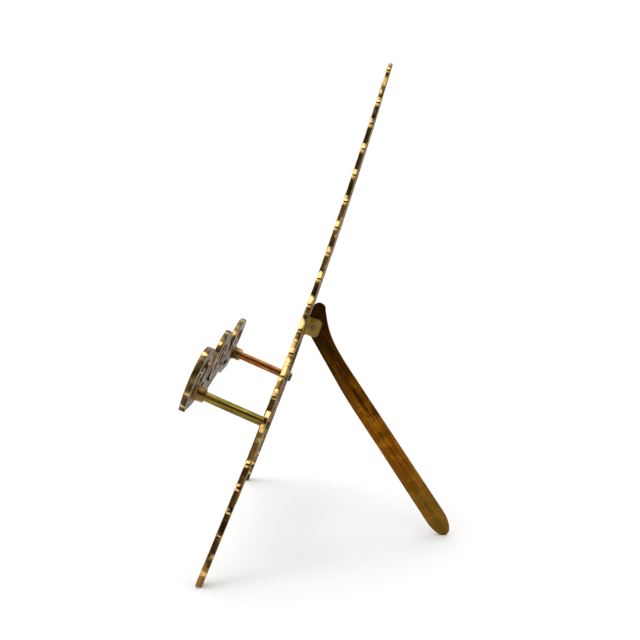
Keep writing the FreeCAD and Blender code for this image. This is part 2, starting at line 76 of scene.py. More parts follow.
# How a band's surface is sampled, in millimetres where not said otherwise.
SAMPLE_STEP = 1.3             # along the stroke
END_TURNS = (12.0, 28.0, 44.0, 58.0, 70.0, 80.0, 86.0)   # rows of a rounded end, in degrees
FRONT_POINTS = 15             # across the domed front
FRONT_SHARE = 0.975           # of the half width, reached by the front
BACK_SHARE = 0.95             # of the half width, reached by the flat back
BACK_ROUND = 0.4              # height of the rounding at the back
SHOULDER = 0.55               # from the front's edge down to the upright side
LIFT_STEP, LIFT_CYCLE = 0.03, 9   # hair's difference in depth between crossing bands
GLINT_PITCH = 13.5           # spacing of painted highlight stripes across a member's edge
GLINT_WIDTH = 1.5            # half width of a stripe
GLINT_DRIFT, GLINT_SWING = 5.0, 21.0   # unevenness of the spacing, and its length
BOSS_POINTS = 48              # round a boss

# Clouds on a casting, in cycles per metre: tarnish, and zones of painted dark reflection.
STAIN_SCALE, PATCH_SCALE, REFLECTION_ZONE_SCALE = 24.0, 62.0, 88.0
MOTTLE_SCALE, PIT_SCALE = 310.0, 1500.0
TOOL_MARK_SCALE = 520.0       # of a rod's fine rings

Array = np.ndarray
Colour = tuple[float, float, float, float]
Stroke = Sequence[tuple[float, float, float]]


# ---- Where the castings lie ---------------------------------------------------------------
class Sheet(Protocol):
    """A plate that a pattern is laid on."""

    def thickness(self, up: Array) -> Array:
        """Thickness in millimetres at a distance up the plate."""

    def place(self, x: Array, up: Array, behind: Array) -> Array:
        """Points in metres for pattern places in millimetres."""


@dataclass(frozen=True)
class BowedSheet:
    """The back panel's sheet: an arc in side view, straight across.

    Attributes:
        lean_deg: Lean from upright at the feet.
        bow_deg: How much more upright the top is.
        length: Length of the arc along the front face, in millimetres.
        foot_thickness: Thickness of the casting at the feet.
        top_thickness: Thickness at the finial.
        shift_y: Y of the feet's front edge, in millimetres.
        shift_z: Z of the feet's front edge, in millimetres.
    """

    lean_deg: float = 20.65
    bow_deg: float = 5.5
    length: float = 350.0
    foot_thickness: float = 4.3
    top_thickness: float = 3.2
    shift_y: float = -73.6780
    shift_z: float = 0.0027

    def lean_at(self, up: Array) -> Array:
        """Lean from upright in radians, falling evenly with the distance up the sheet."""
        return np.radians(self.lean_deg - self.bow_deg * np.asarray(up) / self.length)

    def thickness(self, up: Array) -> Array:
        """Thickness at a distance up the sheet: an even taper from the feet to the finial."""
        return self.foot_thickness + (self.top_thickness - self.foot_thickness) * up / self.length

    def place(self, x: Array, up: Array, behind: Array) -> Array:
        """Lays pattern points on the bow.

        The front face is an arc of radius length / bow angle. A point behind it lies further
        out along the same radius, and nothing goes below the floor.

        Args:
            x: Distance from the middle plane.
            up: Distance up the front face from the feet.
            behind: Distance behind the front face.

        Returns:
            Points in metres, one row each.
        """
        radius = self.length / math.radians(self.bow_deg)
        start = math.radians(self.lean_deg)
        lean = self.lean_at(up)
        reach = radius + behind
        y = reach * np.cos(lean) - radius * math.cos(start) + self.shift_y
        z = radius * math.sin(start) - reach * np.sin(lean) + self.shift_z
        return np.stack([x + 0.0 * y, y, np.maximum(z, 0.0)], axis=-1) * MM


@dataclass(frozen=True)
class PostLine:
    """The line of both rail posts in side view, in millimetres.

    Attributes:
        half_spacing: A post's distance from the middle plane.
        height: Distance up the panel of the posts' axes.
        reach: Panel face to the rail's bosses.
        cant_deg: Rise of the posts from the panel's own normal.
    """

    sheet: BowedSheet = BowedSheet()
    half_spacing: float = 78.5
    height: float = 104.0
    reach: float = 38.8
    cant_deg: float = 2.85

    def angle(self) -> float:
        """Rise of the posts above level, in radians."""
        return float(self.sheet.lean_at(np.float64(self.height))) + math.radians(self.cant_deg)

    def run(self) -> Array:
        """Unit vector along a post towards the reader."""
        return np.array([0.0, -math.cos(self.angle()), math.sin(self.angle())])

    def rise(self) -> Array:
        """Unit vector square to the posts, upwards."""
        return np.array([0.0, math.sin(self.angle()), math.cos(self.angle())])

    def point(self, side: float, along: float) -> Array:
        """Point in metres on a post's axis, a distance from the panel's face.

        Args:
            side: -1 for the left post, 1 for the right, 0 for the middle plane.
            along: Distance from the panel's face in millimetres.

        Returns:
            The point in metres.
        """
        foot = self.sheet.place(side * self.half_spacing, np.float64(self.height), 0.0)
        return foot + self.run() * along * MM


@dataclass(frozen=True)
class RailSheet:
    """The front rail's flat plate, square to the posts.

    The pattern is stretched piecewise from the sizes it was drawn at to the rail's own: across
    from the middle to the posts and the ends, and up from the post axis.
    """

    posts: PostLine = PostLine()
    thick: float = 4.3
    boss_length: float = 7.5
    drawn_x: tuple[float, ...] = (0.0, 77.6, 95.5, 113.4)
    real_x: tuple[float, ...] = (0.0, 78.5, 92.8, 107.1)
    drawn_up: tuple[float, ...] = (-20.0, 0.0, 11.0, 27.0, 43.0)
    real_up: tuple[float, ...] = (-20.0, 0.0, 11.0, 25.8, 40.6)

    def thickness(self, up: Array) -> Array:
        """Thickness of the plate, the same all over."""
        return self.thick + 0.0 * up

    def place(self, x: Array, up: Array, behind: Array) -> Array:
        """Lays pattern points on the rail.

        Args:
            x: Distance from the middle plane, as drawn.
            up: Height above the post axis, as drawn.
            behind: Distance behind the front face.

        Returns:
            Points in metres, one row each.
        """
        across = np.sign(x) * np.interp(np.abs(x), self.drawn_x, self.real_x)
        height = np.interp(up, self.drawn_up, self.real_up)
        out = self.posts.reach + self.boss_length + self.thick - behind
        base = self.posts.point(0.0, 0.0)
        flat = (np.multiply.outer(out + 0.0 * height, self.posts.run())
                + np.multiply.outer(height, self.posts.rise()))
        flat[..., 0] += across
        return base + flat * MM


# ---- Mouldings: cross-sections carried along the strokes ----------------------------------
@dataclass(frozen=True)
class Moulding:
    """Front relief of a cast band, as depths behind the crown in millimetres.

    Attributes:
        edge: Depth of the front's edge below the crown.
        power: Fullness of the dome; 2 is round and more is flatter.
        groove_at: Place of the two side grooves, as a share of the half width.
        groove: Depth of the side grooves.
        vein: Depth of a groove down the middle.
        rope: Height of the swellings along the middle, taken off between them.
        pitch: Distance between the swellings.
        sink: How far the whole front lies behind the plate's face.
        polish: Brightness given by handling, 0 to 1.
        cap_power: Squareness of the ends; 2 is round.
        cap_reach: Length of an end, or 0 for half the width.
    """

    edge: float = 1.1
    power: float = 2.2
    groove_at: float = 0.66
    groove: float = 0.30
    vein: float = 0.0
    rope: float = 0.0
    pitch: float = 7.0
    sink: float = 0.0
    polish: float = 0.35
    cap_power: float = 2.0
    cap_reach: float = 0.0

    def relief(self, ring: Array, out: Array, run: Array) -> tuple[Array, Array, Array]:
        """Depth, hollow and polish over a band's front.

        The dome falls as 1 - (1 - out^power)^(1/power). Each groove and the vein is a bell
        curve across the band, and the rope is a raised cosine along it.

        Args:
            ring: Signed place across the band, -1 to 1.
            out: Distance from the middle line as a share of the half width, ends included.
            run: Distance along the band in millimetres.

        Returns:
            Depth behind the front face, hollow 0 to 1, and polish 0 to 1.
        """
        near = np.clip(out, 0.0, 0.995)
        dome = self.edge * (1.0 - (1.0 - near ** self.power) ** (1.0 / self.power))
        side = np.exp(-((out - self.groove_at) / 0.09) ** 2)
        middle = np.exp(-(ring / 0.16) ** 2) * (out < 0.8)
        swell = 0.5 - 0.5 * np.cos(2.0 * math.pi * run / self.pitch)
        crown = np.exp(-(out / 0.42) ** 2)
        depth = (self.sink + dome + self.groove * side + self.vein * middle
                 + self.rope * swell * crown)
        cut = (side * (self.groove > 0.0) + middle * (self.vein > 0.0)
               + 0.8 * swell * crown * (self.rope > 0.0))
        hollow = np.clip(0.85 * cut + 0.55 * np.clip(out - 0.75, 0.0, 1.0), 0.0, 1.0)
        bright = np.clip(self.polish * (1.0 - 0.8 * hollow) + 0.35 * crown * (1.0 - swell * 0.5),
                         0.0, 1.0)
        return depth, hollow, bright


class Relief(Enum):
    """The mouldings that the castings use."""

    MEMBER = Moulding(edge=0.50, power=2.6, groove=0.42, rope=0.42, pitch=7.6, polish=0.22)
    SCROLL = Moulding(edge=0.60, groove=0.36, sink=0.12, polish=0.30)
    LEAF = Moulding(edge=0.75, power=1.9, groove=0.0, vein=0.50, sink=0.06, polish=0.95)
    STEM = Moulding(edge=0.60, groove=0.30, rope=0.42, pitch=5.2, sink=0.08, polish=0.35)
    STRING = Moulding(edge=0.9, power=2.0, groove=0.0, sink=0.9, polish=0.6)
    PLATE = Moulding(edge=0.7, power=7.0, groove_at=0.84, groove=0.34, sink=0.20, polish=0.30,
                     cap_power=5.0, cap_reach=4.0)


Strokes = tuple[tuple[Relief, Stroke], ...]
Spots = tuple[tuple[float, float, float], ...]


def smooth_line(points: Array, spacing: float) -> Array:
    """Catmull-Rom curve through a stroke's points.

    Between neighbours b and c, with a before and d after, the curve at share t is
    half of 2b + (c - a)t + (2a - 5b + 4c - d)t^2 + (3b - a - 3c + d)t^3.

    Args:
        points: Rows of x, distance up and width.
        spacing: Wanted distance between samples.

    Returns:
        Rows of x, distance up and width along the curve.
    """
    padded = np.vstack([points[:1], points, points[-1:]])
    a, b, c, d = (padded[i:len(padded) - 3 + i, None, :] for i in range(4))
    longest = np.max(np.hypot(*(points[1:, :2] - points[:-1, :2]).T))
    steps = max(4, int(math.ceil(longest / spacing)))
    t = (np.arange(steps) / steps)[None, :, None]
    curve = 0.5 * (2 * b + (c - a) * t + (2 * a - 5 * b + 4 * c - d) * t ** 2
                   + (3 * b - a - 3 * c + d) * t ** 3)
    return np.vstack([curve.reshape(-1, 3), points[-1:]])


@dataclass
class Casting:
    """Collects closed surfaces into one mesh, with the hollow, polish and back attributes."""

    name: str
    points: list[Array] = field(default_factory=list)
    faces: list[list[int]] = field(default_factory=list)
    shades: list[Array] = field(default_factory=list)
    count: int = 0

    def add(self, points: Array, faces: list[list[int]], shades: Array) -> None:
        """Adds one closed surface.

        Args:
            points: Places in metres, one row each.
            faces: Corner numbers of each face, counted from this surface's first point.
            shades: Hollow, polish and back of each point, one row each.
        """
        self.points.append(points)
        self.shades.append(shades)
        start = self.count
        self.faces.extend([[start + corner for corner in face] for face in faces])
        self.count += len(points)

    def tube(self, rings: Array, shades: Array) -> None:
        """Adds rings of equal count as a tube closed by a face at each end.

        Args:
            rings: Places in metres, ring by ring.
            shades: Hollow, polish and back of each place, ring by ring.
        """
        many, around = rings.shape[:2]
        i, j = np.meshgrid(np.arange(many - 1), np.arange(around), indexing="ij")
        k = (j + 1) % around
        quads = np.stack([i * around + j, i * around + k, (i + 1) * around + k,
                          (i + 1) * around + j], axis=-1).reshape(-1, 4)
        last = (many - 1) * around
        ends = [list(range(around))[::-1], list(range(last, last + around))]
        self.add(rings.reshape(-1, 3), quads.tolist() + ends, shades.reshape(-1, 3))

    def turned(self, rows: Array, shades: Array) -> None:
        """Adds a surface of revolution whose first and last rows have shrunk to a point.

        Args:
            rows: Places in metres, row by row from pole to pole; a pole row is all one place.
            shades: Hollow, polish and back of each place, row by row.
        """
        many, around = rows.shape[:2]
        j = np.arange(around)
        k = (j + 1) % around
        i = np.arange(many - 3)[:, None] * around + 1
        quads = np.stack([i + j, i + k, i + around + k, i + around + j], axis=-1).reshape(-1, 4)
        end = (many - 2) * around + 1
        first = np.stack([0 * j, 1 + k, 1 + j], axis=-1)
        last = np.stack([0 * j + end, end - around + j, end - around + k], axis=-1)
        places = np.vstack([rows[0, :1], rows[1:-1].reshape(-1, 3), rows[-1, :1]])
        marks = np.vstack([shades[0, :1], shades[1:-1].reshape(-1, 3), shades[-1, :1]])
        self.add(places, quads.tolist() + first.tolist() + last.tolist(), marks)

    def band(self, stroke: Stroke, relief: Relief, sheet: Sheet, order: int) -> None:
        """Adds one cast band: a moulding carried along a stroke, with closed round ends.

        Across the band the section is a closed loop: back, side, domed front, side. Beyond
        each end the loop narrows as (1 - t^p)^(1/p) while it moves out by t times the reach.

        Args:
            stroke: Points of x, distance up and width.
            relief: The moulding.
            sheet: The plate that the band lies on.
            order: Running number, which sets a hair's difference in depth between bands.
        """
        form = relief.value
        line = smooth_line(np.array(stroke, float), SAMPLE_STEP)
        tangent = np.gradient(line[:, :2], axis=0)
        tangent /= np.linalg.norm(tangent, axis=1, keepdims=True)
        length = np.concatenate([[0.0], np.cumsum(np.hypot(*np.diff(line[:, :2], axis=0).T))])
        t = np.sin(np.radians(END_TURNS))
        narrow = (1.0 - t ** form.cap_power) ** (1.0 / form.cap_power)

        def end(point: Array, way: Array) -> Array:
            """Centres and half widths beyond one end."""
            reach = form.cap_reach or point[2] / 2.0
            return np.column_stack([point[:2] + np.outer(t * reach, way),
                                    narrow * point[2] / 2.0])

        body = np.column_stack([line[:, :2], line[:, 2] / 2.0])
        centre = np.vstack([end(line[0], -tangent[0])[::-1], body, end(line[-1], tangent[-1])])
        ways = np.vstack([np.repeat(tangent[:1], len(t), 0), tangent,
                          np.repeat(tangent[-1:], len(t), 0)])
        beyond = np.concatenate([t[::-1], 0.0 * length, t])[:, None]
        share = np.concatenate([narrow[::-1], 1.0 + 0.0 * length, narrow])[:, None]
        run = np.concatenate([0.0 * t, length, length[-1] + 0.0 * t])[:, None]
        front = np.sin(np.linspace(-math.pi / 2.0, math.pi / 2.0, FRONT_POINTS)) * FRONT_SHARE
        across = np.concatenate([[-BACK_SHARE, -1.0, -1.0], front,
                                 [1.0, 1.0, BACK_SHARE]])[None, :]
        out = (beyond ** form.cap_power
               + np.abs(across * share) ** form.cap_power) ** (1.0 / form.cap_power)
        depth, hollow, polish = form.relief(across + 0.0 * out, out, run)
        lift = LIFT_STEP * (order % LIFT_CYCLE)
        depth = depth + lift
        low = sheet.thickness(centre[:, 1]) - 0.5 * lift
        back = np.zeros_like(depth)
        # Stripes across each member's edge that raise polish and lower hollow: painted highlights.
        drifted = run[:, 0] + GLINT_DRIFT * np.sin(run[:, 0] / GLINT_SWING)
        away = np.mod(drifted, GLINT_PITCH) - GLINT_PITCH / 2.0
        polish_and_glint = np.exp(-(away / GLINT_WIDTH) ** 2) * (relief is Relief.MEMBER)
        shoulder = form.sink + form.edge + SHOULDER + lift
        # The back, its rounding and the upright sides take a set hollow: on the sides this is
        # painted dark reflection with tarnish, and the stripes cut through it as painted
        # highlights.
        for column, level in ((0, low), (1, low - BACK_ROUND), (2, shoulder)):
            for place in (column, -1 - column):
                depth[:, place] = level
                back[:, place] = 1.0 if column == 0 else 0.0
                hollow[:, place] = (0.34 if column == 2 else 0.62) - 0.55 * polish_and_glint
                polish[:, place] = form.polish * (0.9 if column == 2 else 0.6) + 0.6 * polish_and_glint
        x = centre[:, :1] - ways[:, 1:] * centre[:, 2:] * across
        up = centre[:, 1:2] + ways[:, :1] * centre[:, 2:] * across
        self.tube(sheet.place(x, up, depth), np.stack([hollow, polish, back], axis=-1))

    def boss(self, x: float, up: float, radius: float, sheet: Sheet, shy: float = 0.3,
             rise: float = 1.2, petals: int = 0, sink: float = 0.0) -> None:
        """Adds a round boss to a plate: a button, a volute's eye or a petalled rosette.

        The front is a dome of the given rise; a rosette's petals are a squared sine round it
        and two rings are cut into it, and the back is flat.

        Args:
            x: Middle, from the middle plane.
            up: Middle, up the sheet.
            radius: Outside radius.
            sheet: The plate.
            shy: How far the boss stops short of the plate's back.
            rise: Height of the dome over its rim.
            petals: Number of petals, or 0 for a plain button.
            sink: Depth of the dome's top behind the plate's face.
        """
        rim = np.array([0.0, .06, .15, .26, .38, .50, .60, .68, .76, .84, .91, .96, 1.0])
        share = np.concatenate([rim, [1.0, 0.96, 0.5, 0.0]])[:, None]
        angle = np.linspace(0.0, 2.0 * math.pi, BOSS_POINTS, endpoint=False)[None, :]
        ring = np.exp(-((share - 0.42) / 0.05) ** 2) + np.exp(-((share - 0.88) / 0.05) ** 2)
        leafy = np.sin(angle * petals / 2.0) ** 2 * np.exp(-((share - 0.66) / 0.16) ** 2)
        cut = (ring + 1.2 * leafy) * (petals > 0)
        level = sink + rise * (1.0 - np.sqrt(np.clip(1.0 - share ** 2.4, 0.0, 1.0)))
        depth = level + 0.34 * cut + 0.0 * angle
        thickness = float(sheet.thickness(np.float64(up))) - shy
        hollow = np.clip(0.75 * cut + 0.5 * np.clip(share - 0.8, 0.0, 1.0), 0.0, 1.0)
        hollow = hollow + 0.0 * angle
        polish = np.clip(0.75 - 0.6 * hollow, 0.0, 1.0)
        back = np.zeros_like(depth)
        for row, behind in ((-4, thickness - 0.45), (-3, thickness - 0.05),
                            (-2, thickness - 0.05), (-1, thickness - 0.05)):
            depth[row] = behind
            back[row] = 1.0 if row > -4 else 0.0
            hollow[row] = 0.4
        rows = sheet.place(x + radius * share * np.cos(angle), up + radius * share * np.sin(angle),
                           depth)
        self.turned(rows, np.stack([hollow, polish, back], axis=-1))

    def lathe(self, origin: Array, axis: Array, rise: Array,
              profile: Sequence[tuple[float, float]], hollows: Sequence[float],
              around: int = 40) -> None:
        """Adds a turned piece: a profile of distance along and radius, swept round an axis.

        Args:
            origin: Start of the axis in metres.
            axis: Unit vector along it.
            rise: Unit vector square to it.
            profile: Distance along and radius in millimetres, radius 0 at both ends.
            hollows: Hollow of each profile point.
            around: Points round the axis.
        """
        table = np.array(profile, float)
        angle = np.linspace(0.0, 2.0 * math.pi, around, endpoint=False)
        side = np.cross(axis, rise)
        spoke = np.outer(np.cos(angle), rise) + np.outer(np.sin(angle), side)
        rows = (origin + np.multiply.outer(table[:, 0], axis)[:, None, :] * MM
                + table[:, 1, None, None] * spoke[None] * MM)
        shades = np.zeros(rows.shape)
        shades[..., 0] = np.array(hollows)[:, None]
        shades[..., 1] = 0.30
        self.turned(rows, shades)

    def finish(self, body: str, nodes: Sequence[str],
               material: bpy.types.Material) -> bpy.types.Object:
        """Puts the mesh in the scene, facing outwards and smooth but for its sharp edges.

        Args:
            body: The body it rides on.
            nodes: The nodes it stands for.
            material: Its material.

        Returns:
            The object.
        """
        mesh = bpy.data.meshes.new(self.name)
        mesh.from_pydata(np.vstack(self.points).tolist(), [], self.faces)
        shades = np.vstack(self.shades)
        for column, title in enumerate(("hollow", "polish", "back")):
            layer = mesh.attributes.new(title, "FLOAT", "POINT")
            layer.data.foreach_set("value", np.ascontiguousarray(shades[:, column], np.float32))
        work = bmesh.new()
        work.from_mesh(mesh)
        bmesh.ops.recalc_face_normals(work, faces=work.faces)
        work.to_mesh(mesh)
        work.free()
        mesh.shade_smooth()
        mesh.set_sharp_from_angle(angle=SMOOTH_ANGLE)
        mesh.materials.append(material)
        return put(self.name, mesh, body, nodes)


def put(name: str, mesh: bpy.types.Mesh, body: str, nodes: Sequence[str]) -> bpy.types.Object:
    """Links a mesh as a piece of the stand.

    Args:
        name: The piece's name.
        mesh: Its mesh.
        body: The body it rides on.
        nodes: The nodes it stands for.

    Returns:
        The object.
    """
    piece = bpy.data.objects.new(name, mesh)
    bpy.context.scene.collection.objects.link(piece)
    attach(piece, body)
    if nodes:
        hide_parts(*nodes)
    LOG.info("%s: %d faces on %s", name, len(mesh.polygons), body)
    return piece


def broken_edge_copy(name: str, node: bpy.types.Object, body: str,
                     material: bpy.types.Material, bevel: float) -> bpy.types.Object:
    """Copies a machined node, joins its triangles and rounds its edges.

    Args:
        name: The new piece's name.
        node: The node to copy.
        body: The body it rides on.
        material: Its material.
        bevel: Width of the rounding in millimetres.

    Returns:
        The object.
    """
    mesh = node.data.copy()
    mesh.name = name
    work = bmesh.new()
    work.from_mesh(mesh)
    bmesh.ops.remove_doubles(work, verts=work.verts, dist=2e-6)
    bmesh.ops.dissolve_limit(work, angle_limit=math.radians(1.0), verts=work.verts,
                             edges=work.edges)
    work.to_mesh(mesh)
    work.free()
    mesh.materials.clear()
    mesh.materials.append(material)
    mesh.shade_smooth()
    mesh.set_sharp_from_angle(angle=SMOOTH_ANGLE)
    piece = put(name, mesh, body, [node.name])
    rounding = piece.modifiers.new("broken_edges", "BEVEL")
    rounding.width = bevel * MM
    rounding.segments = 3
    rounding.limit_method = "ANGLE"
    rounding.angle_limit = math.radians(40.0)
    rounding.use_clamp_overlap = True
    rounding.harden_normals = True
    return piece


# ---- Shader arithmetic --------------------------------------------------------------------
class Wire:
    """A node's output that takes part in arithmetic; each operation adds a Math node."""

    def __init__(self, book: "NodeBook", socket: bpy.types.NodeSocket) -> None:
        """Keeps the node tree and the socket."""
        self.book = book
        self.socket = socket

    def _math(self, operation: str, first: "Value", second: "Value") -> "Wire":
        """Adds one Math node."""
        return self.book.node("ShaderNodeMath", {"operation": operation}, {0: first, 1: second})

    def __add__(self, other: "Value") -> "Wire":
        """Sum."""
        return self._math("ADD", self, other)

    __radd__ = __add__

    def __sub__(self, other: "Value") -> "Wire":
        """Difference."""
        return self._math("SUBTRACT", self, other)

    def __rsub__(self, other: "Value") -> "Wire":
        """Difference from a number."""
        return self._math("SUBTRACT", other, self)

    def __mul__(self, other: "Value") -> "Wire":
        """Product."""
        return self._math("MULTIPLY", self, other)

    __rmul__ = __mul__

    def between(self, low: float, high: float) -> "Wire":
        """Smooth step from 0 at low to 1 at high."""
        return self.book.node("ShaderNodeMapRange", {"interpolation_type": "SMOOTHSTEP"},
                              {0: self, 1: low, 2: high})

    def held(self) -> "Wire":
        """The value held between 0 and 1."""
        return self.book.node("ShaderNodeClamp", {}, {0: self})


Value = Union[float, Wire]


class NodeBook:
    """Writes a node tree."""

    def __init__(self, tree: bpy.types.NodeTree) -> None:
        """Keeps the tree."""
        self.tree = tree

    def node(self, kind: str, settings: dict[str, object], inputs: dict[object, object],
             output: int | str = 0) -> Wire:
        """Adds a node.

        Args:
            kind: The node's type.
            settings: Properties to set first; "stops" fills a colour ramp.
            inputs: Values or wires by socket name or number.
            output: Which output to give back.

        Returns:
            The output as a wire.
        """
        made = self.tree.nodes.new(kind)
        for key, value in settings.items():
            if key == "stops":
                ramp = made.color_ramp.elements
                while len(ramp) < len(value):
                    ramp.new(0.5)
                for stop, (place, colour) in zip(ramp, value):
                    stop.position = place
                    stop.color = colour
            else:
                setattr(made, key, value)
        for key, value in inputs.items():
            if isinstance(value, Wire):
                self.tree.links.new(value.socket, made.inputs[key])
            else:
                made.inputs[key].default_value = value
        return Wire(self, made.outputs[output])

    def mix(self, factor: Value, first: object, second: object) -> Wire:
        """Blend of two colours, from first at 0 to second at 1."""
        return self.node("ShaderNodeMix", {"data_type": "RGBA"},
                         {0: factor, 6: first, 7: second}, 2)

    def noise(self, place: Wire, scale: float, detail: float = 3.0, rough: float = 0.55,
              warp: float = 0.0) -> Wire:
        """Cloudy value of about 0.3 to 0.7, with a scale in cycles per metre."""
        return self.node("ShaderNodeTexNoise", {},
                         {"Vector": place, "Scale": scale, "Detail": detail, "Roughness": rough,
                          "Distortion": warp})

    def mark(self, name: str) -> Wire:
        """A number kept on the mesh."""
        return self.node("ShaderNodeAttribute", {"attribute_name": name}, {}, "Fac")

    def grain_place(self, origin: Sequence[float], turn_deg: float,
                    stretch: Sequence[float]) -> Wire:
        """Object coordinates from an origin, turned about X and then divided by a stretch."""
        return self.node("ShaderNodeMapping", {"vector_type": "TEXTURE"},
                         {"Vector": self.position(), "Location": tuple(origin),
                          "Rotation": (math.radians(turn_deg), 0.0, 0.0),
                          "Scale": tuple(stretch)})

    def position(self) -> Wire:
        """The piece's own coordinates in metres."""
        return self.node("ShaderNodeTexCoord", {}, {}, "Object")

    def rim(self) -> Wire:
        """0 where the surface faces along X, rising to 1 where it faces square to X."""
        turn = self.part(self.node("ShaderNodeTexCoord", {}, {}, "Normal"), "X")
        return 1.0 - turn * turn

    def metal(self, colour: Wire, rough: Wire, metallic: Wire, height: Wire, strength: float,
              depth: float) -> None:
        """Links colour, roughness, metal share and fine relief to the Principled shader.

        Args:
            colour: Base colour.
            rough: Roughness, held between 0 and 1.
            metallic: Metal share, held between 0 and 1.
            height: Relief, 0 to 1.
            strength: Strength of the relief.
            depth: Depth of the relief in metres.
        """
        normal = self.node("ShaderNodeBump", {}, {"Strength": strength, "Distance": depth,
                                                 "Height": height})
        self.dress({"Base Color": colour, "Roughness": rough.held(), "Normal": normal,
                    "Metallic": metallic.held()})

    def dress(self, wires: dict[str, Wire]) -> None:
        """Links wires to the Principled shader's sockets by name."""
        shader = self.tree.nodes["Principled BSDF"]
        for socket, wire in wires.items():
            self.tree.links.new(wire.socket, shader.inputs[socket])

    def part(self, vector: Wire, axis: str) -> Wire:
        """One coordinate of a vector."""
        return self.node("ShaderNodeSeparateXYZ", {}, {0: vector}, axis)


# ---- Finishes -----------------------------------------------------------------------------
@dataclass(frozen=True)
class AgedCasting:
    """Cast brass: polished where hands reach, brown in the hollows, duller at the back,
    with painted dark reflection and painted highlights along the edges.

    Attributes:
        name: Material name.
        bright: Polished metal, also used for the painted highlights.
        body: Lightly tarnished metal.
        deep: Tarnish in hollows, also used for the painted dark reflection on the edges.
        rear: The unpolished back.
        tint: Patches of another tarnish.
        gloss: Lowest and highest roughness.
        wear: How far the polish reaches, 0 to 1.
    """

    name: str
    bright: Colour
    body: Colour
    deep: Colour
    rear: Colour
    tint: Colour
    gloss: tuple[float, float] = (0.14, 0.46)
    wear: float = 0.5

    def material(self) -> bpy.types.Material:
        """Builds the material.

        Clouds of five sizes make stains, patches, zones of painted dark reflection, mottling
        and pits. Polish, hollow and back come from the mesh; along the members' edges polish
        also carries painted highlight stripes and hollow carries painted dark reflection.
        Bright metal shows where polish outweighs the patches, deep tarnish where the hollow
        does, painted dark reflection on most of the zones along the edges, and the back is dull
        and speckled.

        Returns:
            The material.
        """
        made, book = new_material(self.name)
        place = book.position()
        patches = book.noise(place, PATCH_SCALE, 3.0, 0.6, 0.4)
        mottle = book.noise(place, MOTTLE_SCALE, 4.0, 0.62)
        pits = book.noise(place, PIT_SCALE, 3.0, 0.6)
        stain = book.noise(place, STAIN_SCALE, 2.0, 0.5, 0.8)
        reflection_zones = book.noise(place, REFLECTION_ZONE_SCALE, 2.0, 0.5, 1.1)
        hollow, polish, back = (book.mark(n) for n in ("hollow", "polish", "back"))
        # Bright metal where polish outweighs the patches: polish from wear, and along the members'
        # edges the painted highlight stripes.
        polish_and_glint = (polish * 0.62 + patches * 0.75 + mottle * 0.30 - hollow * 0.38
                  + (self.wear - 0.5)).between(0.50, 0.82)
        # Deep colour where hollow is high: tarnish in the hollows, and painted dark reflection on
        # the members' sides.
        sunk = (hollow * 0.9 + mottle * 0.65 - polish * 0.25).between(0.62, 1.05)
        colour = book.mix(polish_and_glint, self.body, self.bright)
        colour = book.mix(stain.between(0.52, 0.68) * 0.5, colour, self.tint)
        # Painted dark reflection: cloud zones, strongest where hollow is high, as on the sides.
        painted_dark_reflection = (reflection_zones + stain * 0.35).between(0.66, 0.74) * (hollow * 1.5 + 0.10 - back * 0.3)
        colour = book.mix(painted_dark_reflection.held() * 0.92, colour, self.deep)
        colour = book.mix(sunk * 0.88, colour, self.deep)
        colour = book.mix(pits.between(0.60, 0.70) * 0.55 * (1.0 - polish_and_glint * 0.7), colour,
                          self.deep)
        dull = (back * (0.60 + mottle * 0.7)).held()
        speckled = (mottle * 0.75 + pits * 0.35).between(0.53, 0.68) * 0.70
        behind = book.mix((patches.between(0.44, 0.62) * 0.35 + speckled).held(), self.rear,
                          self.deep)
        colour = book.mix(dull * 0.88, colour, behind)
        low, high = self.gloss
        rough = (low + (high - low) * (1.0 - polish_and_glint * 0.75) * (0.55 + mottle * 0.7)
                 + back * 0.22 + sunk * 0.10)
        height = mottle * 0.55 + pits * 0.45 - pits.between(0.62, 0.72) * 0.4
        book.metal(colour, rough, 1.0 - sunk * 0.30 - back * 0.15, height, 0.28, 0.00022)
        return made


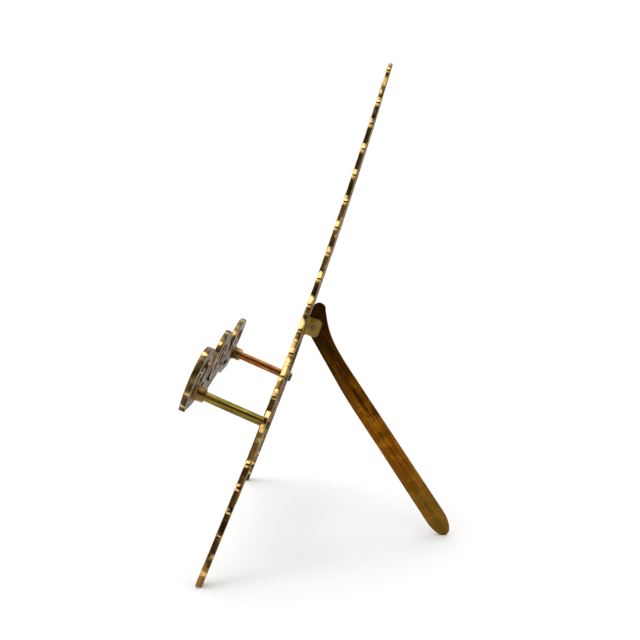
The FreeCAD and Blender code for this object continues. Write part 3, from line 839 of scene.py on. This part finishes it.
@dataclass(frozen=True)
class DrawnMetal:
    """Rolled bar or drawn rod: tarnish in streaks along the metal, painted highlights on the
    edges.

    Attributes:
        name: Material name.
        light: Rubbed metal, also used for the painted edge highlight.
        body: Main patina.
        deep: Dark streaks.
        tint: Second tarnish.
        end: Tarnish that grows towards the far end.
        origin: Start of the grain, in metres.
        turn_deg: Turn about X that lays the Y axis along the grain.
        length: Length of the piece along the grain, in metres.
        streak: How much longer than wide the streaks are.
        rings: Depth of tool marks round a rod, 0 to 1.
        gloss: Lowest and highest roughness.
        rim: Strength of the painted highlight on edges that face away from X, 0 to 1.
        end_share: Strength of the end tarnish.
        head_share: Strength of the darkening over the first half.
    """

    name: str
    light: Colour
    body: Colour
    deep: Colour
    tint: Colour
    end: Colour
    origin: tuple[float, float, float]
    turn_deg: float
    length: float
    streak: float = 14.0
    rings: float = 0.0
    gloss: tuple[float, float] = (0.24, 0.50)
    rim: float = 0.0
    end_share: float = 0.6
    head_share: float = 0.0

    def material(self) -> bpy.types.Material:
        """Builds the material.

        Clouds stretched along the grain make streaks; plain clouds break them up. The end
        tarnish rises smoothly over the last half and the dark head falls over the first. A
        rod's tool marks are a fine wave along it. A flat bar's rounded edges are found by how
        far the surface faces from X, and are painted lighter there as a highlight.

        Returns:
            The material.
        """
        made, book = new_material(self.name)
        straight = book.grain_place(self.origin, self.turn_deg, (1.0, 1.0, 1.0))
        drawn = book.grain_place(self.origin, self.turn_deg, (1.0, self.streak, 1.0))
        way = book.part(straight, "Y") * (1.0 / self.length)
        streaks = book.noise(drawn, 640.0, 4.0, 0.66)
        broad = book.noise(drawn, 170.0, 2.0, 0.5, 0.3)
        clouds = book.noise(straight, 95.0, 4.0, 0.62, 0.5)
        pits = book.noise(straight, 1300.0, 3.0, 0.6)
        spots = book.noise(straight, 420.0, 3.0, 0.6)
        colour = book.mix((streaks * 0.7 + broad * 0.4).between(0.43, 0.62), self.deep, self.body)
        colour = book.mix(clouds.between(0.46, 0.64) * 0.75, colour, self.tint)
        colour = book.mix((streaks * 0.7 + clouds * 0.4).between(0.58, 0.72) * 0.65, colour,
                          self.light)
        tail = (way + clouds * 0.25 - 0.12).between(0.55, 1.0)
        colour = book.mix(tail * self.end_share, colour, self.end)
        colour = book.mix(spots.between(0.62, 0.70) * 0.6, colour, self.deep)
        # Darker over the first half of the grain, which on the leg is the hinge end.
        if self.head_share > 0.0:
            head = 1.0 - (way + streaks * 0.25 - 0.12).between(0.02, 0.46)
            colour = book.mix(head * self.head_share, colour, self.deep)
        # Edges that face away from X are painted lighter: a painted highlight.
        if self.rim > 0.0:
            edge = book.rim().between(0.10, 0.80) * (0.5 + clouds * 0.7)
            colour = book.mix((edge * self.rim).held(), colour, self.light)
        height = streaks * 0.5 + pits * 0.5
        if self.rings > 0.0:
            tool = book.node("ShaderNodeTexWave", {"bands_direction": "Y"},
                             {"Vector": straight, "Scale": TOOL_MARK_SCALE,
                              "Distortion": 1.2, "Detail": 2.0}, "Fac")
            height = height + tool * self.rings
        low, high = self.gloss
        spotted = spots.between(0.60, 0.70)
        rough = low + (high - low) * (streaks * 0.7 + pits * 0.5) + spotted * 0.12
        book.metal(colour, rough, 1.0 - tail * 0.15 - spotted * 0.3, height, 0.24, 0.00018)
        return made


@dataclass(frozen=True)
class StainedFitting:
    """Small hinge metal: matt, with a dark stain round the pin and a painted highlight on the rim.

    Attributes:
        name: Material name.
        light: Rubbed metal, also used for the painted rim highlight.
        body: Main colour.
        deep: Stain.
        pin: The pin's axis in side view, as Y and Z in metres.
        clear: Radius in metres inside which the metal is light.
        ring: Radius in metres of the stain's middle.
        spread: Half width of the stain in metres.
        gloss: Lowest and highest roughness.
    """

    name: str
    light: Colour
    body: Colour
    deep: Colour
    pin: tuple[float, float]
    clear: float
    ring: float
    spread: float
    gloss: tuple[float, float] = (0.34, 0.60)

    def material(self) -> bpy.types.Material:
        """Builds the material.

        The stain is strongest at one distance from the pin's axis and fades on both sides of
        it, with its edge broken by clouds.

        Returns:
            The material.
        """
        made, book = new_material(self.name)
        flat = book.grain_place((0.0, *self.pin), 0.0, (1.0e6, 1.0, 1.0))
        place = book.position()
        away = book.node("ShaderNodeVectorMath", {"operation": "LENGTH"}, {0: flat}, 1)
        clouds = book.noise(place, 380.0, 4.0, 0.6)
        grain = book.noise(place, 1700.0, 3.0, 0.6)
        gap = book.node("ShaderNodeMath", {"operation": "ABSOLUTE"}, {0: away - self.ring})
        stain = 1.0 - (gap + clouds * 0.0006 - 0.0003).between(self.spread * 0.4, self.spread)
        centre = 1.0 - away.between(self.clear * 0.8, self.clear * 1.2)
        # Edges that face away from X are painted lighter: a painted highlight.
        rim = book.rim().between(0.08, 0.6)
        colour = book.mix(clouds.between(0.42, 0.62), self.deep, self.body)
        colour = book.mix(0.55, colour, self.body)
        colour = book.mix(rim * (0.35 + clouds * 0.8), colour, self.light)
        colour = book.mix(grain.between(0.58, 0.70) * 0.5, colour, self.deep)
        colour = book.mix(stain * 0.92, colour, self.deep)
        colour = book.mix(centre * 0.75, colour, self.light)
        low, high = self.gloss
        rough = low + (high - low) * (clouds * 0.8 + grain * 0.3) + stain * 0.15
        book.metal(colour, rough, 1.0 - stain * 0.45, grain * 0.6 + clouds * 0.4, 0.30, 0.00015)
        return made


def new_material(name: str) -> tuple[bpy.types.Material, NodeBook]:
    """Starts a node material and gives it with the book for its tree."""
    made = bpy.data.materials.new(name)
    made.use_nodes = True
    return made, NodeBook(made.node_tree)


# ---- The back panel -----------------------------------------------------------------------
def both_sides(stroke: Stroke) -> list[list[tuple[float, float, float]]]:
    """A stroke and its mirror image, or the stroke alone if it lies on the middle line."""
    made = [list(stroke)]
    if any(abs(x) > 0.01 for x, _, _ in stroke):
        made.append([(-x, up, width) for x, up, width in stroke])
    return made


@dataclass
class Openwork:
    """A pierced casting: mouldings laid on a plate, and round buttons.

    Attributes:
        sheet: The plate.
        strokes: The right half's mouldings; each is laid on the left as well.
        eyes: Buttons of the right half, as place across, place up and radius.
        middle_eyes: Buttons on the middle plane.
    """

    sheet: Sheet
    strokes: Strokes
    eyes: Spots
    middle_eyes: Spots

    def lay_strokes(self, casting: Casting) -> int:
        """Lays every stroke on both sides, and gives the number of bands laid."""
        lines = [(relief, line) for relief, stroke in self.strokes for line in both_sides(stroke)]
        for order, (relief, line) in enumerate(lines):
            casting.band(line, relief, self.sheet, order)
        return len(lines)

    def lay_buttons(self, casting: Casting, side: float, rise: float) -> None:
        """Lays one side's buttons, or those of the middle plane where side is 0."""
        for x, up, radius in self.eyes if side else self.middle_eyes:
            casting.boss(side * x, up, radius, self.sheet, rise=rise)


@dataclass
class BackPanel(Openwork):
    """The bowed openwork panel: side members, leaves, lyre, arms, apron and finial."""

    sheet: BowedSheet = BowedSheet()
    post_pad: float = 9.4
    plate: Stroke = ((0, 154.1, 29.4), (0, 166.5, 28.0), (0, 178.4, 24.6))
    strokes: Strokes = (
        # leg and side member
        (Relief.MEMBER, ((105.5, 4.2, 8.6), (103.4, 16, 10.6), (98.6, 32, 11.2), (92, 50, 10.8),
            (86.5, 68, 10.8), (82, 86, 12.5), (78.5, 103.5, 15))),
        (Relief.MEMBER, ((78.5, 103.5, 13), (73.5, 118, 10.5), (64.5, 131, 9.6), (53, 143, 9.2),
            (42, 156, 8.8), (33, 171, 8.4), (27.5, 189, 8), (25, 208, 7.8), (24, 228, 7.6),
            (23.2, 248, 7.6), (22, 268, 7.4), (20, 288, 7.2), (16.5, 306, 7), (10.5, 323, 7),
            (2.5, 339.5, 7))),
        # leaves on the outer edge
        *((Relief.LEAF, leaf) for leaf in ( ((100, 26, 7), (105, 19.5, 5)), ((96, 40, 7),
            (101.5, 34, 5)), ((91, 54, 7), (96.5, 48, 5)), ((86, 68, 7), (92, 62.5, 5)),
            ((82.5, 83, 7), (88.5, 77.5, 5)), ((70, 126, 7), (76, 120.5, 5)), ((61, 138, 7),
            (67.5, 133, 5)), ((48.5, 151, 7), (55, 146.5, 5)), ((37.5, 166, 7), (44, 161.5, 5)),
            ((30, 183, 6.5), (36, 178.5, 4.8)), ((26.3, 201, 6), (31.5, 196.5, 4.6)),
            ((24.6, 219, 6), (29.6, 214.5, 4.4)), ((23.8, 237, 6), (28.6, 232.5, 4.4)),
            ((23, 255, 6), (27.6, 250.5, 4.4)), ((21.5, 273, 6), (26.4, 269, 4.4)),
            ((19.3, 291, 6), (24.4, 287, 4.4)), ((15.8, 308, 6), (21.2, 304.5, 4.4)),
            ((10.5, 323, 6), (16.2, 319.5, 4.4)))),
        # curl inside the leg, arm to the post, and links
        (Relief.SCROLL, ((85, 74, 7), (74, 68, 7), (63, 60, 6.4), (62, 49, 5.6), (70, 46.5, 5),
            (72.5, 52.5, 4.4))),
        (Relief.SCROLL, ((6, 163, 10), (20, 158, 9), (33, 149, 8.2), (43.5, 139, 7.6),
            (52, 128, 7.2), (60, 119, 7), (70, 112, 7))),
        (Relief.SCROLL, ((10, 172, 8), (22, 170.5, 7.5), (34, 173, 7))),
        (Relief.SCROLL, ((78, 108, 7), (68, 101, 6.4), (58, 100, 6), (52, 107, 5.2),
            (56, 113, 4.4))),
        # lyre
        (Relief.STEM, ((0, 186, 10), (8, 189, 8), (14, 197.5, 7), (15.2, 210, 6.6),
            (12.5, 226, 6.2), (9, 241, 6), (9.6, 252.5, 5.6), (13, 260.3, 5.4),
            (20.3, 265.6, 5.2))),
        (Relief.SCROLL, ((10, 248, 5.6), (0, 245, 6.2))),
        (Relief.STRING, ((0, 188.3, 3.1), (0, 245.7, 3.1))),
        (Relief.STRING, ((5.3, 190.2, 2.5), (5.3, 246.4, 2.5))),
        (Relief.SCROLL, ((13.6, 220.5, 5.5), (23.6, 224.3, 5.9))),
        # stem and finial
        (Relief.STEM, ((0, 243.2, 7.3), (0, 290, 6.6), (0, 320, 7.6), (0, 344.5, 10))),
        (Relief.SCROLL, ((0, 272, 5.6), (6.5, 279, 5.6), (11, 296, 5.4), (13, 310, 5.4))),
        (Relief.LEAF, ((2, 326, 7), (8.5, 336, 5.6), (10, 343, 4))),
        # apron
        (Relief.STEM, ((78.5, 98, 9), (64, 87, 9), (46, 84, 8.6), (29, 89, 8), (14, 86, 8),
            (0, 77, 9))),
        (Relief.SCROLL, ((24, 89, 7), (15.5, 100, 6.6), (18, 115, 6.2), (30, 120.5, 5.6),
            (36, 112, 5), (29.5, 106, 4.2))),
        (Relief.LEAF, ((0, 79, 9), (0, 58, 7))),
        (Relief.LEAF, ((2, 74, 7), (11, 67, 6), (13.5, 58.5, 4.4))),
        (Relief.SCROLL, ((46, 84, 7), (37, 73, 6.6), (27, 68.5, 5.6), (21, 74, 4.6))),
    )
    eyes: Spots = (
        (72.0, 52.0, 3.2), (56.0, 112.5, 3.0), (30.0, 106.5, 3.1), (21.2, 73.6, 3.1),
        (13.2, 59.2, 2.9), (9.8, 342.4, 2.5), (60.0, 119.0, 3.0), (9.4, 248.5, 3.2))
    middle_eyes: Spots = (
        (0.0, 58.0, 4.2), (0.0, 80.0, 4.4), (0.0, 245.5, 3.8), (0.0, 272.0, 3.4),
        (0.0, 326.0, 4.0), (0.0, 344.3, 4.7), (0.0, 188.0, 4.0))

    def build(self, material: bpy.types.Material) -> bpy.types.Object:
        """Casts the panel.

        Args:
            material: The panel's finish.

        Returns:
            The object.
        """
        casting = Casting("panel_casting")
        casting.band(self.plate, Relief.PLATE, self.sheet, self.lay_strokes(casting))
        for side in (-1.0, 1.0):
            casting.boss(side * PostLine().half_spacing, PostLine().height, self.post_pad,
                         self.sheet, 0.02, 1.2, 10)
            self.lay_buttons(casting, side, 1.2)
        self.lay_buttons(casting, 0.0, 1.3)
        return casting.finish("stand", ["back_panel"], material)


# ---- The front rail -----------------------------------------------------------------------
@dataclass
class FrontRail(Openwork):
    """The scrolled book rail with a coved boss behind it for each post."""

    sheet: RailSheet = RailSheet()
    boss_radius: float = 4.8
    flare: float = 3.4
    pad: float = 8.4
    strokes: Strokes = (
        (Relief.MEMBER, ((83, -10.5, 6.4), (91.5, -1, 8), (95.5, 12, 8.4), (88, 22.5, 8.6),
            (74, 26, 8.4), (59, 22.5, 8), (50.5, 11.5, 7.6), (56, 0.5, 7.2), (68, -2, 7),
            (77.6, 3.5, 6.4), (74, 12, 5.4), (67, 11, 4.4))),
        (Relief.STEM, ((84, -9.5, 6), (68, -10.5, 6.4), (50, -10, 6.6), (33, -5.5, 6.6),
            (18, -9, 6.6), (0, -13, 7.4))),
        (Relief.SCROLL, ((53, 6, 7), (42, 2, 6.6), (33, 7, 6.6), (26, 14.5, 6.2), (18, 13, 6))),
        (Relief.SCROLL, ((40, 1, 6), (34, -5, 6))),
        (Relief.MEMBER, ((0, 27, 8.4), (12.5, 23.5, 8), (18.5, 12, 7.4), (13, 0, 6.8),
            (0, -10, 7))),
        (Relief.STEM, ((0, -11, 6), (0, 26, 5.4))),
    )
    eyes: Spots = (
        (67.0, 11.0, 3.4), (33.5, 1.5, 2.8), (41.0, 2.0, 2.8))
    middle_eyes: Spots = (
        (0.0, 26.4, 4.0), (0.0, -12.4, 3.6), (0.0, 8.0, 4.2))

    def build(self, material: bpy.types.Material) -> bpy.types.Object:
        """Casts the rail.

        Args:
            material: The rail's finish.

        Returns:
            The object.
        """
        casting = Casting("rail_casting")
        self.lay_strokes(casting)
        for side in (-1.0, 1.0):
            casting.boss(side * self.sheet.drawn_x[1], 0.0, self.pad, self.sheet, 0.02, 1.3, 8)
            self.lay_buttons(casting, side, 1.4)
            self.add_boss(casting, side)
        self.lay_buttons(casting, 0.0, 1.4)
        return casting.finish("stand", ["front_rail"], material)

    def add_boss(self, casting: Casting, side: float) -> None:
        """Adds a boss: a short round stub that flares by a quarter circle into the rail.

        Args:
            casting: The rail's casting.
            side: -1 for left, 1 for right.
        """
        posts = self.sheet.posts
        turn = np.radians(np.linspace(0.0, 88.0, 9))
        knee = self.sheet.boss_length - self.flare
        flare = [(knee + self.flare * math.sin(a), self.boss_radius
                  + self.flare * (1.0 - math.cos(a))) for a in turn]
        start = [(0.0, 0.0), (0.0, self.boss_radius - 1.2), (0.0, self.boss_radius - 0.45),
                 (0.14, self.boss_radius - 0.12), (0.5, self.boss_radius),
                 (knee * 0.5, self.boss_radius + 0.05)]
        deep = self.sheet.boss_length + 1.0
        profile = start + flare + [(deep, self.boss_radius + self.flare), (deep, 0.0)]
        hollows = [0.8, 0.8, 0.5, 0.1, 0.1, 0.35] + [0.5] * len(flare) + [0.7, 0.7]
        casting.lathe(posts.point(side, posts.reach), posts.run(), posts.rise(), profile, hollows)


# ---- Posts --------------------------------------------------------------------------------
@dataclass
class RailPosts:
    """The two turned rods between the panel and the rail."""

    line: PostLine = PostLine()
    radius: float = 3.175
    sunk: float = 1.4
    relief: float = 0.16

    def build(self, left: bpy.types.Material, right: bpy.types.Material) -> None:
        """Turns both rods.

        A rod is a cylinder with a fine groove near each end and chamfered shoulders.

        Args:
            left: Finish of the left rod.
            right: Finish of the right rod.
        """
        end = self.line.reach + 0.5
        r, g = self.radius, self.relief
        marks = [(-self.sunk, 0.0), (-self.sunk, r - 0.3), (-self.sunk + 0.3, r), (1.6, r),
                 (1.75, r - g), (2.1, r - g), (2.25, r), (10.0, r), (20.0, r), (30.0, r),
                 (end - 4.0, r), (end - 3.85, r - g), (end - 3.5, r - g), (end - 3.35, r),
                 (end - 0.3, r), (end, r - 0.3), (end, 0.0)]
        hollows = [1.0 if abs(radius - (r - g)) < 1e-6 else 0.0 for _, radius in marks]
        for side, name, slot, material in ((-1.0, "left", "post_copper", left),
                                           (1.0, "right", "post_olive", right)):
            rod = Casting("post_rod_" + name)
            rod.lathe(self.line.point(side, 0.0), self.line.run(), self.line.rise(), marks,
                      hollows, 48)
            rod.finish("stand", ["post_" + name], material)


# ---- Hinge, screws and leg ----------------------------------------------------------------
@dataclass
class HingeAndLeg:
    """The riveted lugs, their pin, the post screws and the prop leg."""

    pin: tuple[float, float] = (-0.0116891, 0.1485362)
    hinge_height: float = 160.5
    rivet_x: float = 7.65
    tail_radius: float = 1.75
    tail_rise: float = 0.55

    def build(self, nodes: dict[str, bpy.types.Object], lug: bpy.types.Material,
              dark: bpy.types.Material, pin: bpy.types.Material,
              leg: bpy.types.Material) -> None:
        """Finishes the fittings.

        Args:
            nodes: The frame's nodes by name.
            lug: Finish of the lugs.
            dark: Finish of the screws and rivets.
            pin: Finish of the pin.
            leg: Finish of the leg.
        """
        for side in ("left", "right"):
            broken_edge_copy("lug_bracket_" + side, nodes["hinge_lug_" + side], "stand",
                             lug, 0.28)
        broken_edge_copy("post_screw_pair", nodes["post_screws"], "stand", dark,
                         0.12)
        broken_edge_copy("rivet_pair", nodes["lug_rivets"], "stand", dark, 0.08)
        broken_edge_copy("pivot_pin", nodes["hinge_pin"], "stand", pin, 0.08)
        broken_edge_copy("prop_bar", nodes["prop_leg"], "leg", leg, 0.55)
        self.add_rivet_tails(dark)

    def add_rivet_tails(self, dark: bpy.types.Material) -> None:
        """Adds the peened tails on the panel's front: low domes, flat against the metal.

        Args:
            dark: Finish of the rivets.
        """
        sheet = BowedSheet()
        tails = Casting("rivet_tails")
        for side in (-1.0, 1.0):
            tails.boss(side * self.rivet_x, self.hinge_height, self.tail_radius, sheet, 2.4,
                       self.tail_rise, 0, -0.15)
        tails.finish("stand", [], dark)


# ---- Studio -------------------------------------------------------------------------------
@dataclass
class Studio:
    """Pale floor, soft lights, surroundings and the camera."""

    camera_at: tuple[float, float, float] = (0.59929, 0.021592, 0.228553)
    yaw_deg: float = 2.76
    pitch_deg: float = 7.12
    roll_deg: float = 1.87
    lens: float = 47.8125
    floor_size: float = 9.0
    floor_drop: float = 0.0004
    dark_room: float = 0.035
    backdrop: float = 0.85
    overhead: float = 2.3
    side_panel: float = 1.3
    fill: float = 0.985
    key: float = 0.30
    key_width_deg: float = 26.0
    key_way: tuple[float, float, float] = (-0.18, 0.52, -0.95)

    def build(self) -> None:
        """Sets up the floor, lights, surroundings, camera and colour handling."""
        self.add_floor()
        self.add_world()
        self.add_sun()
        self.add_camera()
        bpy.context.scene.view_settings.view_transform = "Standard"
        bpy.context.scene.view_settings.look = "None"

    def add_floor(self) -> None:
        """Lays a wide pale floor just under the feet."""
        half = self.floor_size / 2.0
        mesh = bpy.data.meshes.new("floor")
        mesh.from_pydata([(-half, -half, -self.floor_drop), (half, -half, -self.floor_drop),
                          (half, half, -self.floor_drop), (-half, half, -self.floor_drop)],
                         [], [(0, 1, 2, 3)])
        made, book = new_material("pale_floor")
        cloud = book.noise(book.position(), 3.0, 2.0)
        shade = book.mix(cloud, (0.93, 0.93, 0.93, 1.0), (0.96, 0.96, 0.955, 1.0))
        made.node_tree.nodes["Principled BSDF"].inputs["Roughness"].default_value = 0.75
        book.dress({"Base Color": shade})
        mesh.materials.append(made)
        floor = bpy.data.objects.new("floor", mesh)
        bpy.context.scene.collection.objects.link(floor)

    def add_world(self) -> None:
        """White behind the stand; what the metal mirrors is a dark room with soft panels.

        Diffuse light comes evenly from all round. A mirrored direction sees white on the
        backdrop's side, which falls away to a dark room on the camera's side, with a panel
        overhead and one at each side: each panel is a smooth step in two directions.
        """
        world = bpy.data.worlds.new("studio_room")
        world.use_nodes = True
        book = NodeBook(world.node_tree)
        way = book.node("ShaderNodeTexCoord", {}, {}, "Generated")
        near, side, high = (book.part(way, axis) for axis in "XYZ")
        room = 1.0 - near.between(-0.35, 0.10)
        overhead = high.between(0.76, 0.84)
        left = (0.0 - side).between(0.70, 0.76) * (1.0 - high.between(0.45, 0.60))
        right = side.between(0.86, 0.90) * (1.0 - high.between(0.30, 0.42))
        level = (self.dark_room + room * self.backdrop + overhead * self.overhead
                 + left * self.side_panel + right * self.side_panel)
        light = book.node("ShaderNodeLightPath", {}, {}, "Is Diffuse Ray")
        direct = Wire(book, light.socket.node.outputs["Is Camera Ray"])
        level = level * (1.0 - light) + light * self.fill
        grey = book.node("ShaderNodeCombineColor", {}, {0: level, 1: level, 2: level})
        shown = book.mix(direct, grey, (1.0, 1.0, 1.0, 1.0))
        back = world.node_tree.nodes["Background"]
        world.node_tree.links.new(shown.socket, back.inputs["Color"])
        bpy.context.scene.world = world

    def add_sun(self) -> None:
        """Adds one wide soft light from the reader's side, above."""
        lamp = bpy.data.lights.new("key", "SUN")
        lamp.energy = self.key
        lamp.angle = math.radians(self.key_width_deg)
        holder = bpy.data.objects.new("key", lamp)
        bpy.context.scene.collection.objects.link(holder)
        aim = Vector(self.key_way)
        holder.matrix_world = aim.to_track_quat("-Z", "Y").to_matrix().to_4x4()

    def add_camera(self) -> None:
        """Sets the camera beside the stand, looking along -X, turned by yaw, pitch and roll."""
        yaw, pitch, roll = (math.radians(a) for a in
                            (self.yaw_deg, self.pitch_deg, self.roll_deg))
        turn = Matrix.Rotation(yaw, 3, "Z")
        level = turn @ Vector((-1.0, 0.0, 0.0))
        right = turn @ Vector((0.0, 1.0, 0.0))
        up = Vector((0.0, 0.0, 1.0))
        ahead = math.cos(pitch) * level - math.sin(pitch) * up
        over = math.sin(pitch) * level + math.cos(pitch) * up
        tilted = math.cos(roll) * right + math.sin(roll) * over
        head = -math.sin(roll) * right + math.cos(roll) * over
        frame = Matrix((tilted, head, -ahead)).transposed().to_4x4()
        frame.translation = Vector(self.camera_at)
        camera = bpy.data.cameras.new("camera")
        camera.lens = self.lens
        camera.clip_start = 0.01
        holder = bpy.data.objects.new("camera", camera)
        bpy.context.scene.collection.objects.link(holder)
        holder.matrix_world = frame
        bpy.context.scene.camera = holder


# ---- Everything ---------------------------------------------------------------------------
PANEL_FINISH = AgedCasting(
    "panel_brass", bright=(0.78, 0.49, 0.16, 1), body=(0.28, 0.145, 0.030, 1),
    deep=(0.026, 0.011, 0.002, 1), rear=(0.28, 0.185, 0.075, 1), tint=(0.44, 0.20, 0.055, 1),
    gloss=(0.11, 0.36), wear=0.47)
RAIL_FINISH = AgedCasting(
    "rail_brass", bright=(0.76, 0.49, 0.17, 1), body=(0.18, 0.106, 0.028, 1),
    deep=(0.025, 0.012, 0.003, 1), rear=(0.36, 0.33, 0.285, 1), tint=(0.20, 0.15, 0.055, 1),
    gloss=(0.12, 0.40), wear=0.41)
HINGE = HingeAndLeg()
LEG_FINISH = DrawnMetal(
    "leg_bronze", light=(0.46, 0.195, 0.022, 1), body=(0.185, 0.062, 0.003, 1),
    deep=(0.028, 0.010, 0.001, 1), tint=(0.265, 0.092, 0.003, 1), end=(0.165, 0.098, 0.006, 1),
    origin=(0.0, *HINGE.pin), turn_deg=-55.0, length=0.185, streak=30.0, rim=0.75,
    gloss=(0.24, 0.46), end_share=0.66, head_share=0.95)
LEFT_ROD = DrawnMetal(
    "rod_copper", light=(0.62, 0.27, 0.08, 1), body=(0.33, 0.112, 0.022, 1),
    deep=(0.08, 0.026, 0.008, 1), tint=(0.27, 0.100, 0.020, 1), end=(0.18, 0.065, 0.018, 1),
    origin=(0.0, -0.0384, 0.0978), turn_deg=158.14, length=0.0388, streak=9.0, rings=0.35,
    gloss=(0.18, 0.38), end_share=0.3)
RIGHT_ROD = DrawnMetal(
    "rod_olive", light=(0.60, 0.45, 0.12, 1), body=(0.27, 0.195, 0.030, 1),
    deep=(0.07, 0.046, 0.009, 1), tint=(0.21, 0.150, 0.022, 1), end=(0.23, 0.130, 0.026, 1),
    origin=(0.0, -0.0384, 0.0978), turn_deg=158.14, length=0.0388, streak=9.0, rings=0.35,
    gloss=(0.18, 0.38), end_share=0.3)
LUG_FINISH = StainedFitting(
    "lug_brass", light=(0.40, 0.27, 0.060, 1), body=(0.120, 0.068, 0.007, 1),
    deep=(0.030, 0.018, 0.004, 1), pin=HINGE.pin, clear=0.0, ring=0.0021, spread=0.0009)
DARK_FINISH = StainedFitting(
    "dark_heads", light=(0.18, 0.115, 0.055, 1), body=(0.062, 0.040, 0.022, 1),
    deep=(0.014, 0.010, 0.007, 1), pin=HINGE.pin, clear=0.0, ring=0.5, spread=0.0009,
    gloss=(0.30, 0.55))
PIN_FINISH = StainedFitting(
    "pin_steel", light=(0.36, 0.31, 0.22, 1), body=(0.12, 0.095, 0.065, 1),
    deep=(0.014, 0.011, 0.009, 1), pin=HINGE.pin, clear=0.0008, ring=0.0013, spread=0.0006)


def main() -> None:
    """Builds the stand's pieces in order, then the studio."""
    logging.basicConfig(level=logging.INFO, format="%(name)s %(message)s")
    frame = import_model()
    BackPanel().build(PANEL_FINISH.material())
    FrontRail().build(RAIL_FINISH.material())
    RailPosts().build(LEFT_ROD.material(), RIGHT_ROD.material())
    HINGE.build(frame["nodes"], LUG_FINISH.material(), DARK_FINISH.material(),
                PIN_FINISH.material(), LEG_FINISH.material())
    Studio().build()


if __name__ == "__main__":
    main()
